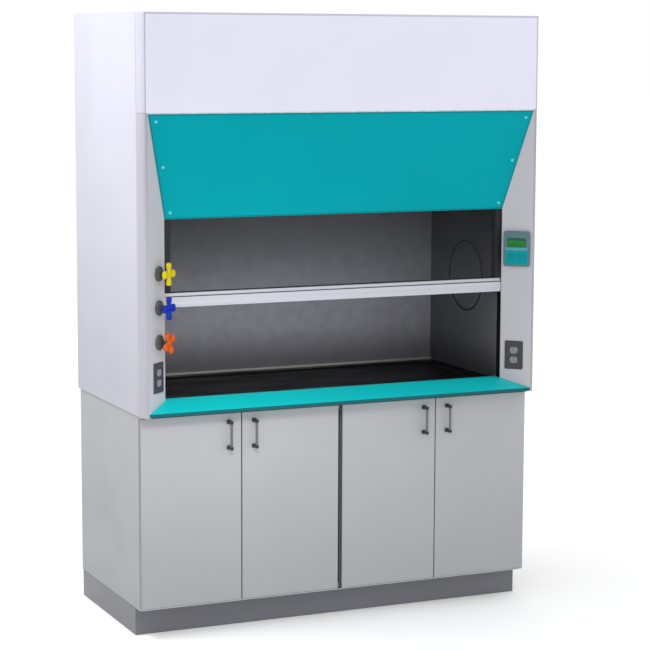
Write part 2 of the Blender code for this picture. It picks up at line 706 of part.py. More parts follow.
def baffles(paint):
    reach = POST_INNER - GAP
    split = WORKTOP_TOP + BAFFLE_SPLIT_RISE
    box("lower_baffle", (-reach, reach), (BAFFLE_FACE, BAFFLE_FACE + LINER),
        (WORKTOP_TOP + REAR_STRIP_HEIGHT + 2 * GAP, split), paint["liner"])
    path = [(BAFFLE_FACE, split + BAFFLE_SLOT), (BAFFLE_FACE, CEILING - BAFFLE_LEAN_HEIGHT),
            (BAFFLE_FACE - BAFFLE_LEAN_DEPTH, CEILING - GAP)]
    outline = sheet(path, LINER)
    level = [(y, min(z, CEILING - GAP)) for y, z in outline]
    prism("upper_baffle", level, "x", (-reach, reach), paint["liner"])
    box("rear_strip", (-reach, reach), (BAFFLE_FACE + LINER - REAR_STRIP_DEPTH, BAFFLE_FACE + LINER),
        (WORKTOP_TOP + GAP, WORKTOP_TOP + GAP + REAR_STRIP_HEIGHT), paint["strip"])


def ceiling(paint):
    reach = POST_INNER + LINER
    base = CEILING + GAP
    board = box("ceiling_liner", (-reach, reach), (SASH_BACK + FASCIA_RETURN / 2, BACK - LINER - GAP),
                (base, base + LINER), paint["liner"])
    front = FRONT + LIGHT_SETBACK
    length = POST_INNER - LIGHT_END_ROOM
    window = box("window", (-length, length), (front, front + LIGHT_WIDTH),
                 (base - LINER, base + 2 * LINER), None)
    outlet = rod("outlet", (0, COLLAR_MIDDLE, base - LINER), (0, COLLAR_MIDDLE, base + 2 * LINER),
                 COLLAR_RADIUS - COLLAR_WALL, None, ROUND)
    cut(board, window, outlet)
    shoulder = base + LINER + GAP
    top = shoulder + LIGHT_HOUSING_HEIGHT
    lens = (front + REVEAL, front + LIGHT_WIDTH - REVEAL)
    housing = (front - LIGHT_HOUSING_EDGE, front + LIGHT_WIDTH + LIGHT_HOUSING_EDGE)
    outline = [(lens[0], base), (lens[1], base), (lens[1], shoulder), (housing[1], shoulder), (housing[1], top),
               (housing[0], top), (housing[0], shoulder), (lens[0], shoulder)]
    prism("light_fixture", outline, "x", (REVEAL - length, length - REVEAL), paint["lamp"])


# Sash and its counterbalance

def sash(paint):
    """A framed glass pane over a full-width finger rail."""
    half_glass = GLASS / 2
    glass_x = STILE_INNER + GLASS_IN_GROOVE
    glass_z = (RAIL_TOP - GLASS_IN_GROOVE, SASH_TOP - SASH_TOP_RAIL + GLASS_IN_GROOVE)
    pane = box("sash_glass", (-glass_x, glass_x), (SASH_MIDDLE - half_glass, SASH_MIDDLE + half_glass),
               glass_z, paint["glass"])

    def groove():
        return box("groove", (-glass_x - GAP, glass_x + GAP),
                   (SASH_MIDDLE - half_glass - GAP, SASH_MIDDLE + half_glass + GAP),
                   (glass_z[0] - GAP, glass_z[1] + GAP), None)

    foot, head = RAIL_TOP + GAP, SASH_TOP - SASH_TOP_RAIL
    outline = [(-SASH_HALF, foot), (-STILE_INNER, foot), (-STILE_INNER, head), (STILE_INNER, head),
               (STILE_INNER, foot), (SASH_HALF, foot), (SASH_HALF, SASH_TOP), (-SASH_HALF, SASH_TOP)]
    frame = prism("sash_frame", outline, "y", (SASH_FRONT, SASH_BACK), paint["dark_track"])
    cut(frame, groove())
    lug_end = BELT_OFFSET + BELT_SIDE
    lugs = [box("lug", (side * (SASH_HALF - TRACK_WALL), side * lug_end), (LUG_BACK - LUG_THICKNESS, LUG_BACK),
                (LUG_TOP - LUG_HEIGHT, LUG_TOP), None) for _, side in SIDES]
    join(frame, *lugs)

    face = SASH_FRONT - RAIL_PROUD
    lip = RAIL_TOP - RAIL_LIP
    profile = [(SASH_FRONT - RAIL_PROUD / 2, SASH_BOTTOM), (SASH_BACK, SASH_BOTTOM), (SASH_BACK, RAIL_TOP),
               (SASH_FRONT - RAIL_PROUD / 2, RAIL_TOP), (SASH_FRONT - RAIL_PROUD / 2, lip),
               (face + RAIL_GROOVE_DEPTH, lip), (face + RAIL_GROOVE_DEPTH, lip - RAIL_GROOVE),
               (face, lip - RAIL_GROOVE), (face, SASH_BOTTOM + RAIL_GROOVE)]
    reach = POST_INNER - RAIL_END_GAP
    rail = prism("sash_rail", profile, "x", (-reach, reach), paint["aluminium"])
    cut(rail, groove())
    joint("sash_slide", (0, SASH_MIDDLE, SASH_BOTTOM), frame, pane, rail)


def sash_track(word, side, paint):
    """A channel that the sash runs in, with a slot for the lug that holds the belt."""
    inner_x, outer_x = POST_INNER + 2 * GAP, TRACK_WEB
    path = [(inner_x, TRACK_FRONT), (outer_x, TRACK_FRONT), (outer_x, TRACK_BACK), (inner_x, TRACK_BACK)]
    outline = mirrored(sheet(path[::-1], TRACK_WALL), side)
    track = prism(f"{word}_sash_track", outline, "z", (WORKTOP_TOP + GAP, TRACK_TOP), paint["dark_track"])
    slot_middle = LUG_BACK - LUG_THICKNESS / 2
    slot = box("slot", (side * (outer_x - 2 * TRACK_WALL), side * (outer_x + TRACK_WALL)),
               (slot_middle - SLOT_WIDTH / 2, slot_middle + SLOT_WIDTH / 2),
               (LUG_TOP - LUG_HEIGHT - SASH_DOWN - SLOT_ROOM, LUG_TOP + SASH_UP + SLOT_ROOM), None)
    cut(track, slot)


def stadium(radius, low, high, steps=12):
    """Two half circles and the straight runs between them, in Y and Z."""
    outline = []
    for centre, start in ((high, 0), (low, 180)):
        for i in range(steps + 1):
            turn = math.radians(start + 180 * i / steps)
            outline.append((SHAFT_BACK + radius * math.cos(turn), centre + radius * math.sin(turn)))
    return outline


def belt(word, side, paint):
    span = (side * BELT_OFFSET - BELT_SIDE, side * BELT_OFFSET + BELT_SIDE)
    band(f"{word}_belt", stadium(BELT_OUTER_RADIUS, IDLER_HEIGHT, SHAFT_HEIGHT),
         stadium(BELT_INNER_RADIUS, IDLER_HEIGHT, SHAFT_HEIGHT), "x", span, paint["belt"])


def pulley_profile():
    """A flanged pulley's radii, from its inner side outwards, with a shaft on each side."""
    rim = PULLEY_RADIUS + PULLEY_FLANGE_RISE
    near, far = BELT_OFFSET - BELT_SIDE - GAP, BELT_OFFSET + BELT_SIDE + GAP
    return [(SHAFT_RADIUS, near - PULLEY_FLANGE), (rim, near - PULLEY_FLANGE), (rim, near),
            (PULLEY_RADIUS, near), (PULLEY_RADIUS, far), (rim, far), (rim, far + PULLEY_FLANGE),
            (SHAFT_RADIUS, far + PULLEY_FLANGE)]


def counterbalance(paint):
    """The cross shaft with its two pulleys, the two idlers and the two weights."""
    end = INSIDE + BORE_DEPTH - BORE_CLEARANCE * 2
    right = pulley_profile() + [(SHAFT_RADIUS, end), (0, end)]
    whole = [(radius, -height) for radius, height in reversed(right)] + right
    lie = Matrix.Rotation(math.radians(90), 4, "Y")
    shaft = turned("cross_shaft", whole, paint["steel"], SMALL_ROUND)
    shaft.data.transform(lie)
    stand(shaft, Matrix.Translation((0, SHAFT_BACK, SHAFT_HEIGHT)))
    for word, side in SIDES:
        start = BELT_OFFSET - BELT_SIDE - GAP - PULLEY_FLANGE
        idler = turned(f"{word}_idler", [(0, start)] + right, paint["steel"], SMALL_ROUND)
        idler.data.transform(Matrix.Rotation(math.radians(90 * side), 4, "Y"))
        stand(idler, Matrix.Translation((0, SHAFT_BACK, IDLER_HEIGHT)))
        weight(word, side, paint)


def weight(word, side, paint):
    """An iron bar with a slot that holds the belt's back run."""
    run = SHAFT_BACK + BELT_INNER_RADIUS
    slot = (run - GAP, run + BELT_THICKNESS + GAP)
    near = BELT_OFFSET - BELT_SIDE - GAP
    inner = near - 3 * SKIN
    outer = inner + WEIGHT_WIDTH
    front, back = run - WEIGHT_FRONT, run + WEIGHT_BACK
    outline = [(inner, front), (outer, front), (outer, slot[0]), (near, slot[0]), (near, slot[1]),
               (outer, slot[1]), (outer, back), (inner, back)]
    bar = prism(f"{word}_counterweight", mirrored(outline, side), "z",
                (WEIGHT_BOTTOM, WEIGHT_BOTTOM + WEIGHT_LENGTH), paint["iron"])
    joint(f"{word}_counterweight_slide", (side * BELT_OFFSET, run, WEIGHT_BOTTOM), bar)


# Services

def cross_outline():
    """Four arms with round ends."""
    outline = []
    ends = 6
    for arm in range(4):
        base = math.radians(90 * arm)
        for i in range(ends + 1):
            turn = math.radians(-90 + 180 * i / ends)
            along = HANDLE_REACH - HANDLE_ARM + HANDLE_ARM * math.cos(turn)
            across = HANDLE_ARM * math.sin(turn)
            outline.append((along * math.cos(base) - across * math.sin(base),
                            along * math.sin(base) + across * math.cos(base)))
        corner = HANDLE_ARM * math.sqrt(2)
        outline.append((corner * math.cos(base + math.pi / 4), corner * math.sin(base + math.pi / 4)))
    return outline


def valves(paint):
    words = ("upper", "middle", "lower")
    for word, color, height, turn in zip(words, ("yellow", "blue", "orange"), VALVE_HEIGHTS, HANDLE_TURNS):
        place = slant_place(-1, VALVE_PLACE, height)
        bore = SPINDLE_RADIUS + SPINDLE_CLEARANCE
        rim, dome = VALVE_FLANGE_RADIUS, VALVE_NECK / 2
        body = [(bore, -VALVE_BODY_DEPTH), (VALVE_BODY_RADIUS, -VALVE_BODY_DEPTH), (VALVE_BODY_RADIUS, GAP),
                (rim, GAP), (rim, dome / 2), (rim - dome / 2, dome), (VALVE_NECK_RADIUS, dome),
                (VALVE_NECK_RADIUS, VALVE_NECK), (bore, VALVE_NECK)]
        stand(turned(f"{word}_valve_body", body, paint["dark_plastic"], SMALL_ROUND, hollow=True), place)
        top = HANDLE_STANDOFF + HANDLE_THICKNESS
        hub = HANDLE_HUB_RADIUS
        spindle = [(0, -SPINDLE_DEPTH), (SPINDLE_RADIUS, -SPINDLE_DEPTH),
                   (SPINDLE_RADIUS, HANDLE_STANDOFF - hub / 2), (hub, HANDLE_STANDOFF - hub / 3),
                   (hub, HANDLE_STANDOFF + hub / 5), (hub * 0.8, top - hub / 5), (hub * 0.8, top + hub / 5),
                   (hub / 2, top + hub / 3), (0, top + hub / 3)]
        cross = prism(f"{word}_valve_handle", cross_outline(), "z", (HANDLE_STANDOFF, top), paint[color])
        cross.data.transform(Matrix.Rotation(math.radians(turn), 4, "Z"))
        join(cross, turned("spindle", spindle, paint[color], SMALL_ROUND))
        stand(cross, place)


def socket(word, side, paint):
    """A cover plate with two three-pin outlets."""
    plate = prism(f"{word}_socket", rounded(SOCKET_WIDTH, SOCKET_TALL, SOCKET_CORNER), "z",
                  (GAP, SOCKET_THICKNESS), paint["dark_plastic"])
    faces, slots = [], []
    depth = (SOCKET_THICKNESS - OUTLET_DEPTH, SOCKET_THICKNESS + OUTLET_DEPTH)
    for row in (-1, 1):
        middle = row * OUTLET_PITCH / 2
        oval = [(x, y + middle) for x, y in rounded(OUTLET_WIDTH, OUTLET_TALL, OUTLET_CORNER)]
        faces.append(prism("outlet", oval, "z", (2 * GAP, SOCKET_THICKNESS + OUTLET_PROUD), None))
        for x, tall in OUTLET_SLOTS:
            y = middle - OUTLET_SLOT_DROP
            half = OUTLET_SLOT_WIDTH / 2
            slots.append(box("slot", (x - half, x + half), (y - tall / 2, y + tall / 2), depth, None))
        earth = middle + EARTH_RAISE
        slots.append(rod("earth", (0, earth, depth[0]), (0, earth, depth[1]), EARTH_RADIUS, None, 8))
    join(plate, *faces)
    cut(plate, *slots)
    stand(plate, slant_place(side, SOCKET_PLACE, WORKTOP_TOP + SOCKET_RISE))


def control_panel(paint):
    place = slant_place(1, PANEL_PLACE, WORKTOP_TOP + PANEL_RISE)
    case = prism("control_panel", rounded(PANEL_WIDTH, PANEL_TALL, PANEL_CORNER), "z", (GAP, PANEL_THICKNESS),
                 paint["bezel"])
    tools = [box("screen_recess", (-SCREEN_WIDTH / 2 - GAP, SCREEN_WIDTH / 2 + GAP),
                 (SCREEN_RAISE - SCREEN_TALL / 2 - GAP, SCREEN_RAISE + SCREEN_TALL / 2 + GAP),
                 (PANEL_THICKNESS - SCREEN_RECESS, 2 * PANEL_THICKNESS), None)]
    for column in (-1, 0, 1):
        middle = column * BUTTON_PITCH
        half = BUTTON_WIDTH / 2 + BUTTON_ROOM
        tall = BUTTON_TALL / 2 + BUTTON_ROOM
        tools.append(box("pocket", (middle - half, middle + half), (-BUTTON_DROP - tall, -BUTTON_DROP + tall),
                         (PANEL_THICKNESS - BUTTON_POCKET, 2 * PANEL_THICKNESS), None))
    cut(case, *tools)
    stand(case, place)
    screen = box("screen", (-SCREEN_WIDTH / 2, SCREEN_WIDTH / 2),
                 (SCREEN_RAISE - SCREEN_TALL / 2, SCREEN_RAISE + SCREEN_TALL / 2),
                 (PANEL_THICKNESS - SCREEN_RECESS + GAP, PANEL_THICKNESS - GAP), paint["screen"])
    stand(screen, place)
    low = PANEL_THICKNESS - BUTTON_POCKET + BUTTON_TRAVEL + BUTTON_ROOM
    for word, column in (("left", -1), ("middle", 0), ("right", 1)):
        outline = rounded(BUTTON_WIDTH, BUTTON_TALL, BUTTON_CORNER)
        key = prism(f"{word}_button", outline, "z", (low, PANEL_THICKNESS + BUTTON_PROUD), paint["key"])
        stand(key, place @ Matrix.Translation((column * BUTTON_PITCH, -BUTTON_DROP, 0)))


def main():
    for old in list(bpy.data.objects):
        bpy.data.objects.remove(old)
    paint = finishes()
    plinth(paint)
    doors(paint)
    pivot_rails(paint)
    for word, side in SIDES:
        cabinet(word, side, paint)
        side_panel(word, side, paint)
        post(word, side, paint)
        corner_trim(word, side, paint)
        liner(word, side, paint)
        sash_track(word, side, paint)
        belt(word, side, paint)
        socket(word, side, paint)
    fascias(paint)
    roof_and_back(paint)
    exhaust_collar(paint)
    worktop(paint)
    sill(paint)
    baffles(paint)
    ceiling(paint)
    sash(paint)
    counterbalance(paint)
    valves(paint)
    control_panel(paint)


main()
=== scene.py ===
# %% [markdown]
# # A laboratory fume hood, built around its working frame
#
# A fume hood is a ventilated work chamber. A sash slides over its front, slanted posts carry
# the gas valves and the sockets, and two cabinets hold it at bench height. The working frame
# arrives as fixed solids, already sized and jointed. Here each one gets the rounded edges,
# fasteners, seals and finishes of the real object, and rides on the part that carries it.

# %% Load the frame
import json
import math

import bmesh
import bpy
from mathutils import Matrix, Vector

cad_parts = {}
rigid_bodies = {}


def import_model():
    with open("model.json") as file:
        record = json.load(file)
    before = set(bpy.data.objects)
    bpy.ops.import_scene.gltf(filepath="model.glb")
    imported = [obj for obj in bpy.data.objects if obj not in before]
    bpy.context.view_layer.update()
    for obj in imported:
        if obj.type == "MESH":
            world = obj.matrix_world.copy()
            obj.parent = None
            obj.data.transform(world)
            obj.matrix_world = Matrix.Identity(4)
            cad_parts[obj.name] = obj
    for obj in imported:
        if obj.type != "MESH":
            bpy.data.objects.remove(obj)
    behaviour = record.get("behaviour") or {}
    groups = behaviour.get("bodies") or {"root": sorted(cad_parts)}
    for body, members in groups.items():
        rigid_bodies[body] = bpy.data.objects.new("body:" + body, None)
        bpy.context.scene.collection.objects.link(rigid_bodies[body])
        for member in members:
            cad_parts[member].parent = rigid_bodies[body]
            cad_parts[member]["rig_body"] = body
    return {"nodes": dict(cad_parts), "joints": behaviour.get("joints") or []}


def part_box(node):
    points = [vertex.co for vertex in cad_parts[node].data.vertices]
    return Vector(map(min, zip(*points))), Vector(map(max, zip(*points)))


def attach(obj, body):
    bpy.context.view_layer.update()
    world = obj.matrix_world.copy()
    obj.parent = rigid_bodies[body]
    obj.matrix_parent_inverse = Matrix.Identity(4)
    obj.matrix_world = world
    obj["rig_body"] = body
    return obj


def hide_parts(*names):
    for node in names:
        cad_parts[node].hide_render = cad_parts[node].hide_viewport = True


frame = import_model()
nodes = frame["nodes"]
joints = {joint["name"]: joint for joint in frame["joints"]}
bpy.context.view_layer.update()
SIDES = (("left", -1), ("right", 1))
UP = Vector((0, 0, 1))

# %% [markdown]
# ## Writing node trees as sums
#
# Materials and Geometry Nodes are both trees of nodes. Drawing them link by link hides what
# they compute, so one small class stands for an output socket and lets Python's own operators
# add the Math nodes. A second class holds a tree and has one method that makes any other node.

# %% A socket that can be added and multiplied
class Wire:
    """One output socket of a node tree, ready for arithmetic."""

    def __init__(self, board, socket):
        self.board = board
        self.socket = socket

    def math(self, operation, first, second):
        return self.board.node("ShaderNodeMath", {0: first, 1: second}, operation=operation)

    def __add__(self, other):
        return self.math("ADD", self, other)

    def __sub__(self, other):
        return self.math("SUBTRACT", self, other)

    def __rsub__(self, other):
        return self.math("SUBTRACT", other, self)

    def __mul__(self, other):
        return self.math("MULTIPLY", self, other)

    __radd__ = __add__
    __rmul__ = __mul__


class Board:
    """A node tree, and the methods that put nodes on it."""

    def __init__(self, tree):
        self.tree = tree

    def plug(self, socket, value):
        if isinstance(value, Wire):
            self.tree.links.new(value.socket, socket)
        elif hasattr(value, "__len__") and len(value) == 3 and socket.type == "RGBA":
            socket.default_value = (*value, 1.0)
        else:
            socket.default_value = value

    def node(self, kind, inputs=None, output=0, **settings):
        made = self.tree.nodes.new(kind)
        for name, value in settings.items():
            setattr(made, name, value)
        for name, value in (inputs or {}).items():
            self.plug(made.inputs[name], value)
        return Wire(self, made.outputs[output])

    def vector(self, x=0.0, y=0.0, z=0.0):
        return self.node("ShaderNodeCombineXYZ", {"X": x, "Y": y, "Z": z})

    def joined(self, wires):
        made = self.tree.nodes.new("GeometryNodeJoinGeometry")
        for wire in wires:
            self.tree.links.new(wire.socket, made.inputs[0])
        return Wire(self, made.outputs[0])


print("node trees are ready to be written")

# %% [markdown]
# ## A finish is more than a colour
#
# A real surface drifts a little in colour, is shinier in one place than in another, and has a
# texture too fine to model: orange peel on powder coat, pearl on laminate, drawn lines on an
# extrusion. Every pattern below is placed in metres on the object's own coordinates, so its
# grain keeps its true size on every piece. The rounded edges of each piece carry a face
# attribute called edge. Most finishes use it to show where handling has rubbed them; the faced
# boards and the trim, post and teal coats use it for painted shade along the edges.

# %% The palette class
paints, slot_of = {}, {}
SLOTS = {"trim_enamel": "white_enamel", "post_enamel": "white_enamel", "pale_teal": "teal_panel",
         "carcass_laminate": "grey_laminate", "plinth_board": "grey_laminate", "back_board": "liner_board",
         "brushed_steel": "steel", "shaft_steel": "steel", "zinc_screw": "steel", "gland_metal": "steel",
         "handle_metal": "steel", "flange_plastic": "dark_plastic", "socket_plastic": "dark_plastic",
         "outlet_plastic": "dark_plastic", "mask_plastic": "dark_plastic", "pale_key_plastic": "key_plastic",
         "soft_key_plastic": "key_plastic", "bar_ink": "screen", "display_green": "screen",
         "pale_seal": "white_enamel"}


def tone(color, times, plus=0.0):
    return [c * times + plus for c in color]


class Finish(Board):
    """A Principled material with its patterns measured in metres."""

    def __init__(self, name):
        self.name = name
        self.material = bpy.data.materials.new(name)
        self.material.use_nodes = True
        super().__init__(self.material.node_tree)
        self.shader = self.tree.nodes["Principled BSDF"]
        self.place = self.node("ShaderNodeTexCoord", output="Object")
        self.edge = self.marked("edge")

    def marked(self, attribute):
        """1 on the faces that carry an attribute."""
        return self.node("ShaderNodeAttribute", output="Fac", attribute_name=attribute)

    def height(self):
        return self.node("ShaderNodeSeparateXYZ", {"Vector": self.place}, "Z")

    def noise(self, size, detail=2.0, stretch=(1, 1, 1), offset=(0, 0, 0)):
        """Smooth noise whose blotches are about size metres across, longer where stretched."""
        scale = [1 / (size * longer) for longer in stretch]
        placed = self.node("ShaderNodeMapping", {"Vector": self.place, "Scale": scale, "Location": offset})
        return self.node("ShaderNodeTexNoise", {"Vector": placed, "Scale": 1.0, "Detail": detail})

    def cells(self, size, randomness=1.0):
        """The distance from the middle of each cell of a pattern size metres across."""
        return self.node("ShaderNodeTexVoronoi",
                         {"Vector": self.place, "Scale": 1 / size, "Randomness": randomness})

    def ramp(self, value, low, high):
        """0 below low, 1 above high, and smooth between."""
        return self.node("ShaderNodeMapRange", {"Value": value, "From Min": low, "From Max": high},
                         interpolation_type="SMOOTHSTEP")

    def patches(self, size, low, high, detail=2.0, stretch=(1, 1, 1), offset=(0, 0, 0)):
        """Noise with its contrast raised: 0 below low and 1 above high."""
        return self.ramp(self.noise(size, detail, stretch, offset), low, high)

    def mix(self, share, first, second):
        """A colour between two, by share."""
        return self.node("ShaderNodeMix", {0: share, 6: first, 7: second}, 2, data_type="RGBA")

    def shade(self, color, spread, size):
        """A colour that drifts darker and lighter by spread over patches of a size."""
        return self.mix(self.patches(size, 0.3, 0.7, 3.0), tone(color, 1 - spread), tone(color, 1 + spread))

    def rubbed(self, size=0.012):
        """The parts of the rounded edges that handling has reached."""
        return self.edge * self.patches(size, 0.42, 0.62, 4.0)

    def relief(self, height, depth):
        """A normal from a pattern of 0 to 1 that stands depth metres proud."""
        return self.node("ShaderNodeBump", {"Strength": 1.0, "Distance": depth, "Height": height})

    def done(self, color, roughness, normal, metallic=0.0, **constants):
        """Plugs the finish in, and keeps it under its name with the slot that it fills."""
        varying = {"Base Color": color, "Roughness": roughness, "Normal": normal, "Metallic": metallic}
        for name, value in {**varying, **constants}.items():
            self.plug(self.shader.inputs[name.replace("_", " ")], value)
        paints[self.name] = self.material
        slot_of[self.material] = SLOTS.get(self.name, self.name)


def palette(make, **recipes):
    """One finish for each recipe of a kind."""
    for name, values in recipes.items():
        make(name, *values)
    print(make.__name__ + ":", ", ".join(recipes))


print("finishes can be mixed")

# %% [markdown]
# ### Powder coat
#
# The posts, fascias and sill are folded steel under baked powder. Powder flows into a faint
# orange peel, about a millimetre or two across and only hundredths of a millimetre high, and
# thins over a fold, where hands polish it first. The same recipe serves every colour. On the
# white and pale teal coats the rubbed edges turn paler, which is wear; on the trim, post and
# teal coats they turn darker, which is painted shade along the edges.

# %% Powder coat
def powder_coat(name, color, edge_wear_and_shade, gloss=0.34, sheen=0.3, nose=None):
    """Baked powder. Marked faces take a second, darker colour, which is painted shade. Rubbed edges take a
    third colour: paler wear on some coats, painted shade on others.
    """
    finish = Finish(name)
    peel = finish.noise(0.0022, 2.0) + finish.noise(0.0007, 1.0) * 0.3
    smears = finish.patches(0.11, 0.35, 0.75, 4.0, (1, 1, 2.5))
    rubbed = finish.rubbed()
    surface = finish.shade(color, 0.02, 0.35)
    # Marked faces are mixed to the darker colour here: painted shade.
    if nose:
        surface = finish.mix(finish.marked("nose"), surface, nose)
    # Rubbed edges are mixed to their own colour: paler wear on the white and pale teal coats, painted shade
    # lines on the trim, post and teal coats.
    surface = finish.mix(rubbed * 0.55, surface, edge_wear_and_shade)
    roughness = gloss + smears * 0.07 - rubbed * 0.08
    finish.done(surface, roughness, finish.relief(peel, 0.00005), Specular_IOR_Level=sheen)


# Each coat: colour, colour of rubbed edges (wear when paler, painted shade when darker), gloss, sheen, and
# last the darker colour of marked faces, which is painted shade.
palette(powder_coat,
        white_enamel=((0.735, 0.733, 0.87), (0.80, 0.80, 0.87), 0.34, 0.3, (0.47, 0.47, 0.55)),
        # The trim and post coats are darker copies of the white enamel, which is painted shade: trims and
        # posts are the same white coat.
        trim_enamel=((0.43, 0.43, 0.50), (0.31, 0.31, 0.36)),
        post_enamel=((0.495, 0.492, 0.525), (0.32, 0.32, 0.35), 0.34, 0.3, (0.36, 0.355, 0.40)),
        teal_enamel=((0.004, 0.56, 0.58), (0.0, 0.30, 0.34), 0.36, 0.22, (0.0, 0.10, 0.12)),
        teal_panel=((0.0, 0.323, 0.378), (0.0, 0.20, 0.23), 0.42, 0.04, (0.003, 0.215, 0.24)),
        pale_teal=((0.12, 0.60, 0.64), (0.40, 0.75, 0.78), 0.26))

# %% [markdown]
# ### Faced board
#
# Side panels, doors and cabinets are board with a hard melamine face. Its press plate leaves
# a fine pearl texture. The edge attribute darkens the rounded corners to a much darker colour
# instead of wearing them pale, which is painted shade along the joints, and some boards are
# painted darker from head height down to their foot, a painted shade gradient.

# %% Faced board
def faced_board(name, color, edge_shade, low_shade=0.0, foot=0.05, head=0.95):
    """Hard-faced board with painted shade along its edges, and painted shade from head height down to its
    foot.
    """
    finish = Finish(name)
    pearl = finish.cells(0.0016) * 0.6 + finish.noise(0.0011, 2.0) * 0.5
    haze = finish.patches(0.16, 0.3, 0.75, 4.0, (1.4, 1.4, 1))
    # Edge faces are mixed to a much darker colour: painted shade.
    surface = finish.mix(finish.edge * 0.8, finish.shade(color, 0.03, 0.5), edge_shade)
    scuffs = finish.patches(0.02, 0.66, 0.8, 5.0, (1, 1, 6))
    surface = finish.mix(scuffs * 0.16, surface, tone(color, 0.82))
    low_down = 1 - finish.ramp(finish.height(), foot, head)
    # Darker from head height down to the foot: painted shade.
    surface = finish.mix(low_down * low_shade, surface, tone(color, 0.5))
    finish.done(surface, 0.4 + haze * 0.08 + scuffs * 0.06, finish.relief(pearl, 0.00004))


# Each board: colour, darker edge colour (painted shade), how much darker it is painted from head height down
# (painted shade), then the foot and head heights.
palette(faced_board,
        white_laminate=((0.445, 0.448, 0.516), (0.25, 0.25, 0.29), 0.36, 0.80, 1.75),
        grey_laminate=((0.42, 0.423, 0.445), (0.12, 0.122, 0.13), 0.40),
        # The carcass and plinth boards are darker copies of the grey laminate, which is painted shade.
        carcass_laminate=((0.315, 0.318, 0.335), (0.15, 0.153, 0.17), 0.36),
        plinth_board=((0.138, 0.139, 0.158), (0.10, 0.10, 0.115)))

# %% [markdown]
# ### The chamber: lining board and cast epoxy
#
# The chamber is lined with dark grey compact laminate that fumes can't stain, and the worktop
# is black epoxy cast in one piece. Both are wiped down daily, which leaves long faint arcs of
# changed gloss. Cast epoxy also shows its filler as tiny specks.

# %% Chamber finishes
def lining_board(name, color, top_shade=0.0):
    """Lining laminate, painted darker towards its top, which is painted shade, and darker near its foot."""
    finish = Finish(name)
    fibres = finish.noise(0.0014, 3.0, (1, 1, 7))
    wiped = finish.patches(0.09, 0.4, 0.7, 3.0, (3.0, 3.0, 1))
    stains = finish.patches(0.23, 0.5, 0.78, 5.0, offset=(4, 2, 1))
    surface = finish.mix(stains * 0.22, finish.shade(color, 0.07, 0.05), tone(color, 0.7))
    height = finish.height()
    # Darker towards the top: painted shade.
    surface = finish.mix(finish.ramp(height, 1.18, 1.62) * top_shade, surface, tone(color, 0.25))
    # Darker near the foot.
    near_foot = 1 - finish.ramp(height, 0.90, 1.08)
    surface = finish.mix(near_foot * 0.8, surface, tone(color, 0.25))
    surface = finish.mix(finish.rubbed(0.02) * 0.4, surface, tone(color, 1.6))
    finish.done(surface, 0.46 + wiped * 0.12, finish.relief(fibres, 0.00003), Specular_IOR_Level=0.3)


def cast_epoxy(name, color):
    finish = Finish(name)
    specks = 1 - finish.ramp(finish.cells(0.0035), 0.1, 0.22)
    wiped = finish.patches(0.13, 0.35, 0.7, 4.0, (2.5, 1, 1))
    surface = finish.mix(specks * 0.5, finish.shade(color, 0.15, 0.12), tone(color, 3, 0.012))
    surface = finish.mix(finish.rubbed(0.03) * 0.35, surface, (0.06, 0.065, 0.07))
    pits = finish.noise(0.003, 3.0) + specks * 0.15
    finish.done(surface, 0.34 + wiped * 0.16, finish.relief(pits, 0.00005), Specular_IOR_Level=0.13)


# The baffles take a lighter copy of the lining board, which is painted light: both are the same dark grey
# board.
palette(lining_board, liner_board=((0.142, 0.144, 0.156), 1.0), back_board=((0.345, 0.345, 0.395), 0.82))
palette(cast_epoxy, black_epoxy=((0.004, 0.005, 0.006),))

# %% [markdown]
# ### Metals
#
# Drawn and brushed metal is told from paint by its grain: noise stretched a hundred and sixty
# times longer along one axis than across it. An extrusion's grain runs along its length, and
# so does a drawn shaft's. Anodising dyes the same surface dark. Cast iron has no grain at all,
# only the sand of its mould.

# %% Metal finishes
GRAIN_STRETCH = 160.0


def drawn_metal(name, color, along, roughness=0.3, metallic=1.0, grain=0.00002):
    """Metal with its grain along one axis: 0 for X, 1 for Y, 2 for Z."""
    finish = Finish(name)
    stretch = [1.0, 1.0, 1.0]
    stretch[along] = GRAIN_STRETCH
    lines = finish.noise(0.0009, 3.0, stretch)
    bands = finish.patches(0.008, 0.3, 0.7, 3.0, stretch)
    rubbed = finish.rubbed(0.02)
    surface = finish.mix(bands, tone(color, 0.93), tone(color, 1.05))
    surface = finish.mix(rubbed * 0.5, surface, tone(color, 1.25, 0.03))
    marks = finish.patches(0.05, 0.45, 0.75, 4.0)
    finish.done(surface, roughness + bands * 0.08 + marks * 0.06 - rubbed * 0.06,
                finish.relief(lines, grain), metallic)


def sand_cast_iron(name, color):
    finish = Finish(name)
    sand = finish.noise(0.0025, 5.0) + finish.cells(0.004) * 0.4
    rust = finish.patches(0.04, 0.58, 0.74, 6.0)
    surface = finish.mix(rust * 0.35, finish.shade(color, 0.2, 0.03), (0.16, 0.075, 0.04))
    surface = finish.mix(finish.rubbed() * 0.7, surface, (0.30, 0.30, 0.31))
    finish.done(surface, 0.62 + rust * 0.2, finish.relief(sand, 0.0003), 0.6 - rust * 0.4)


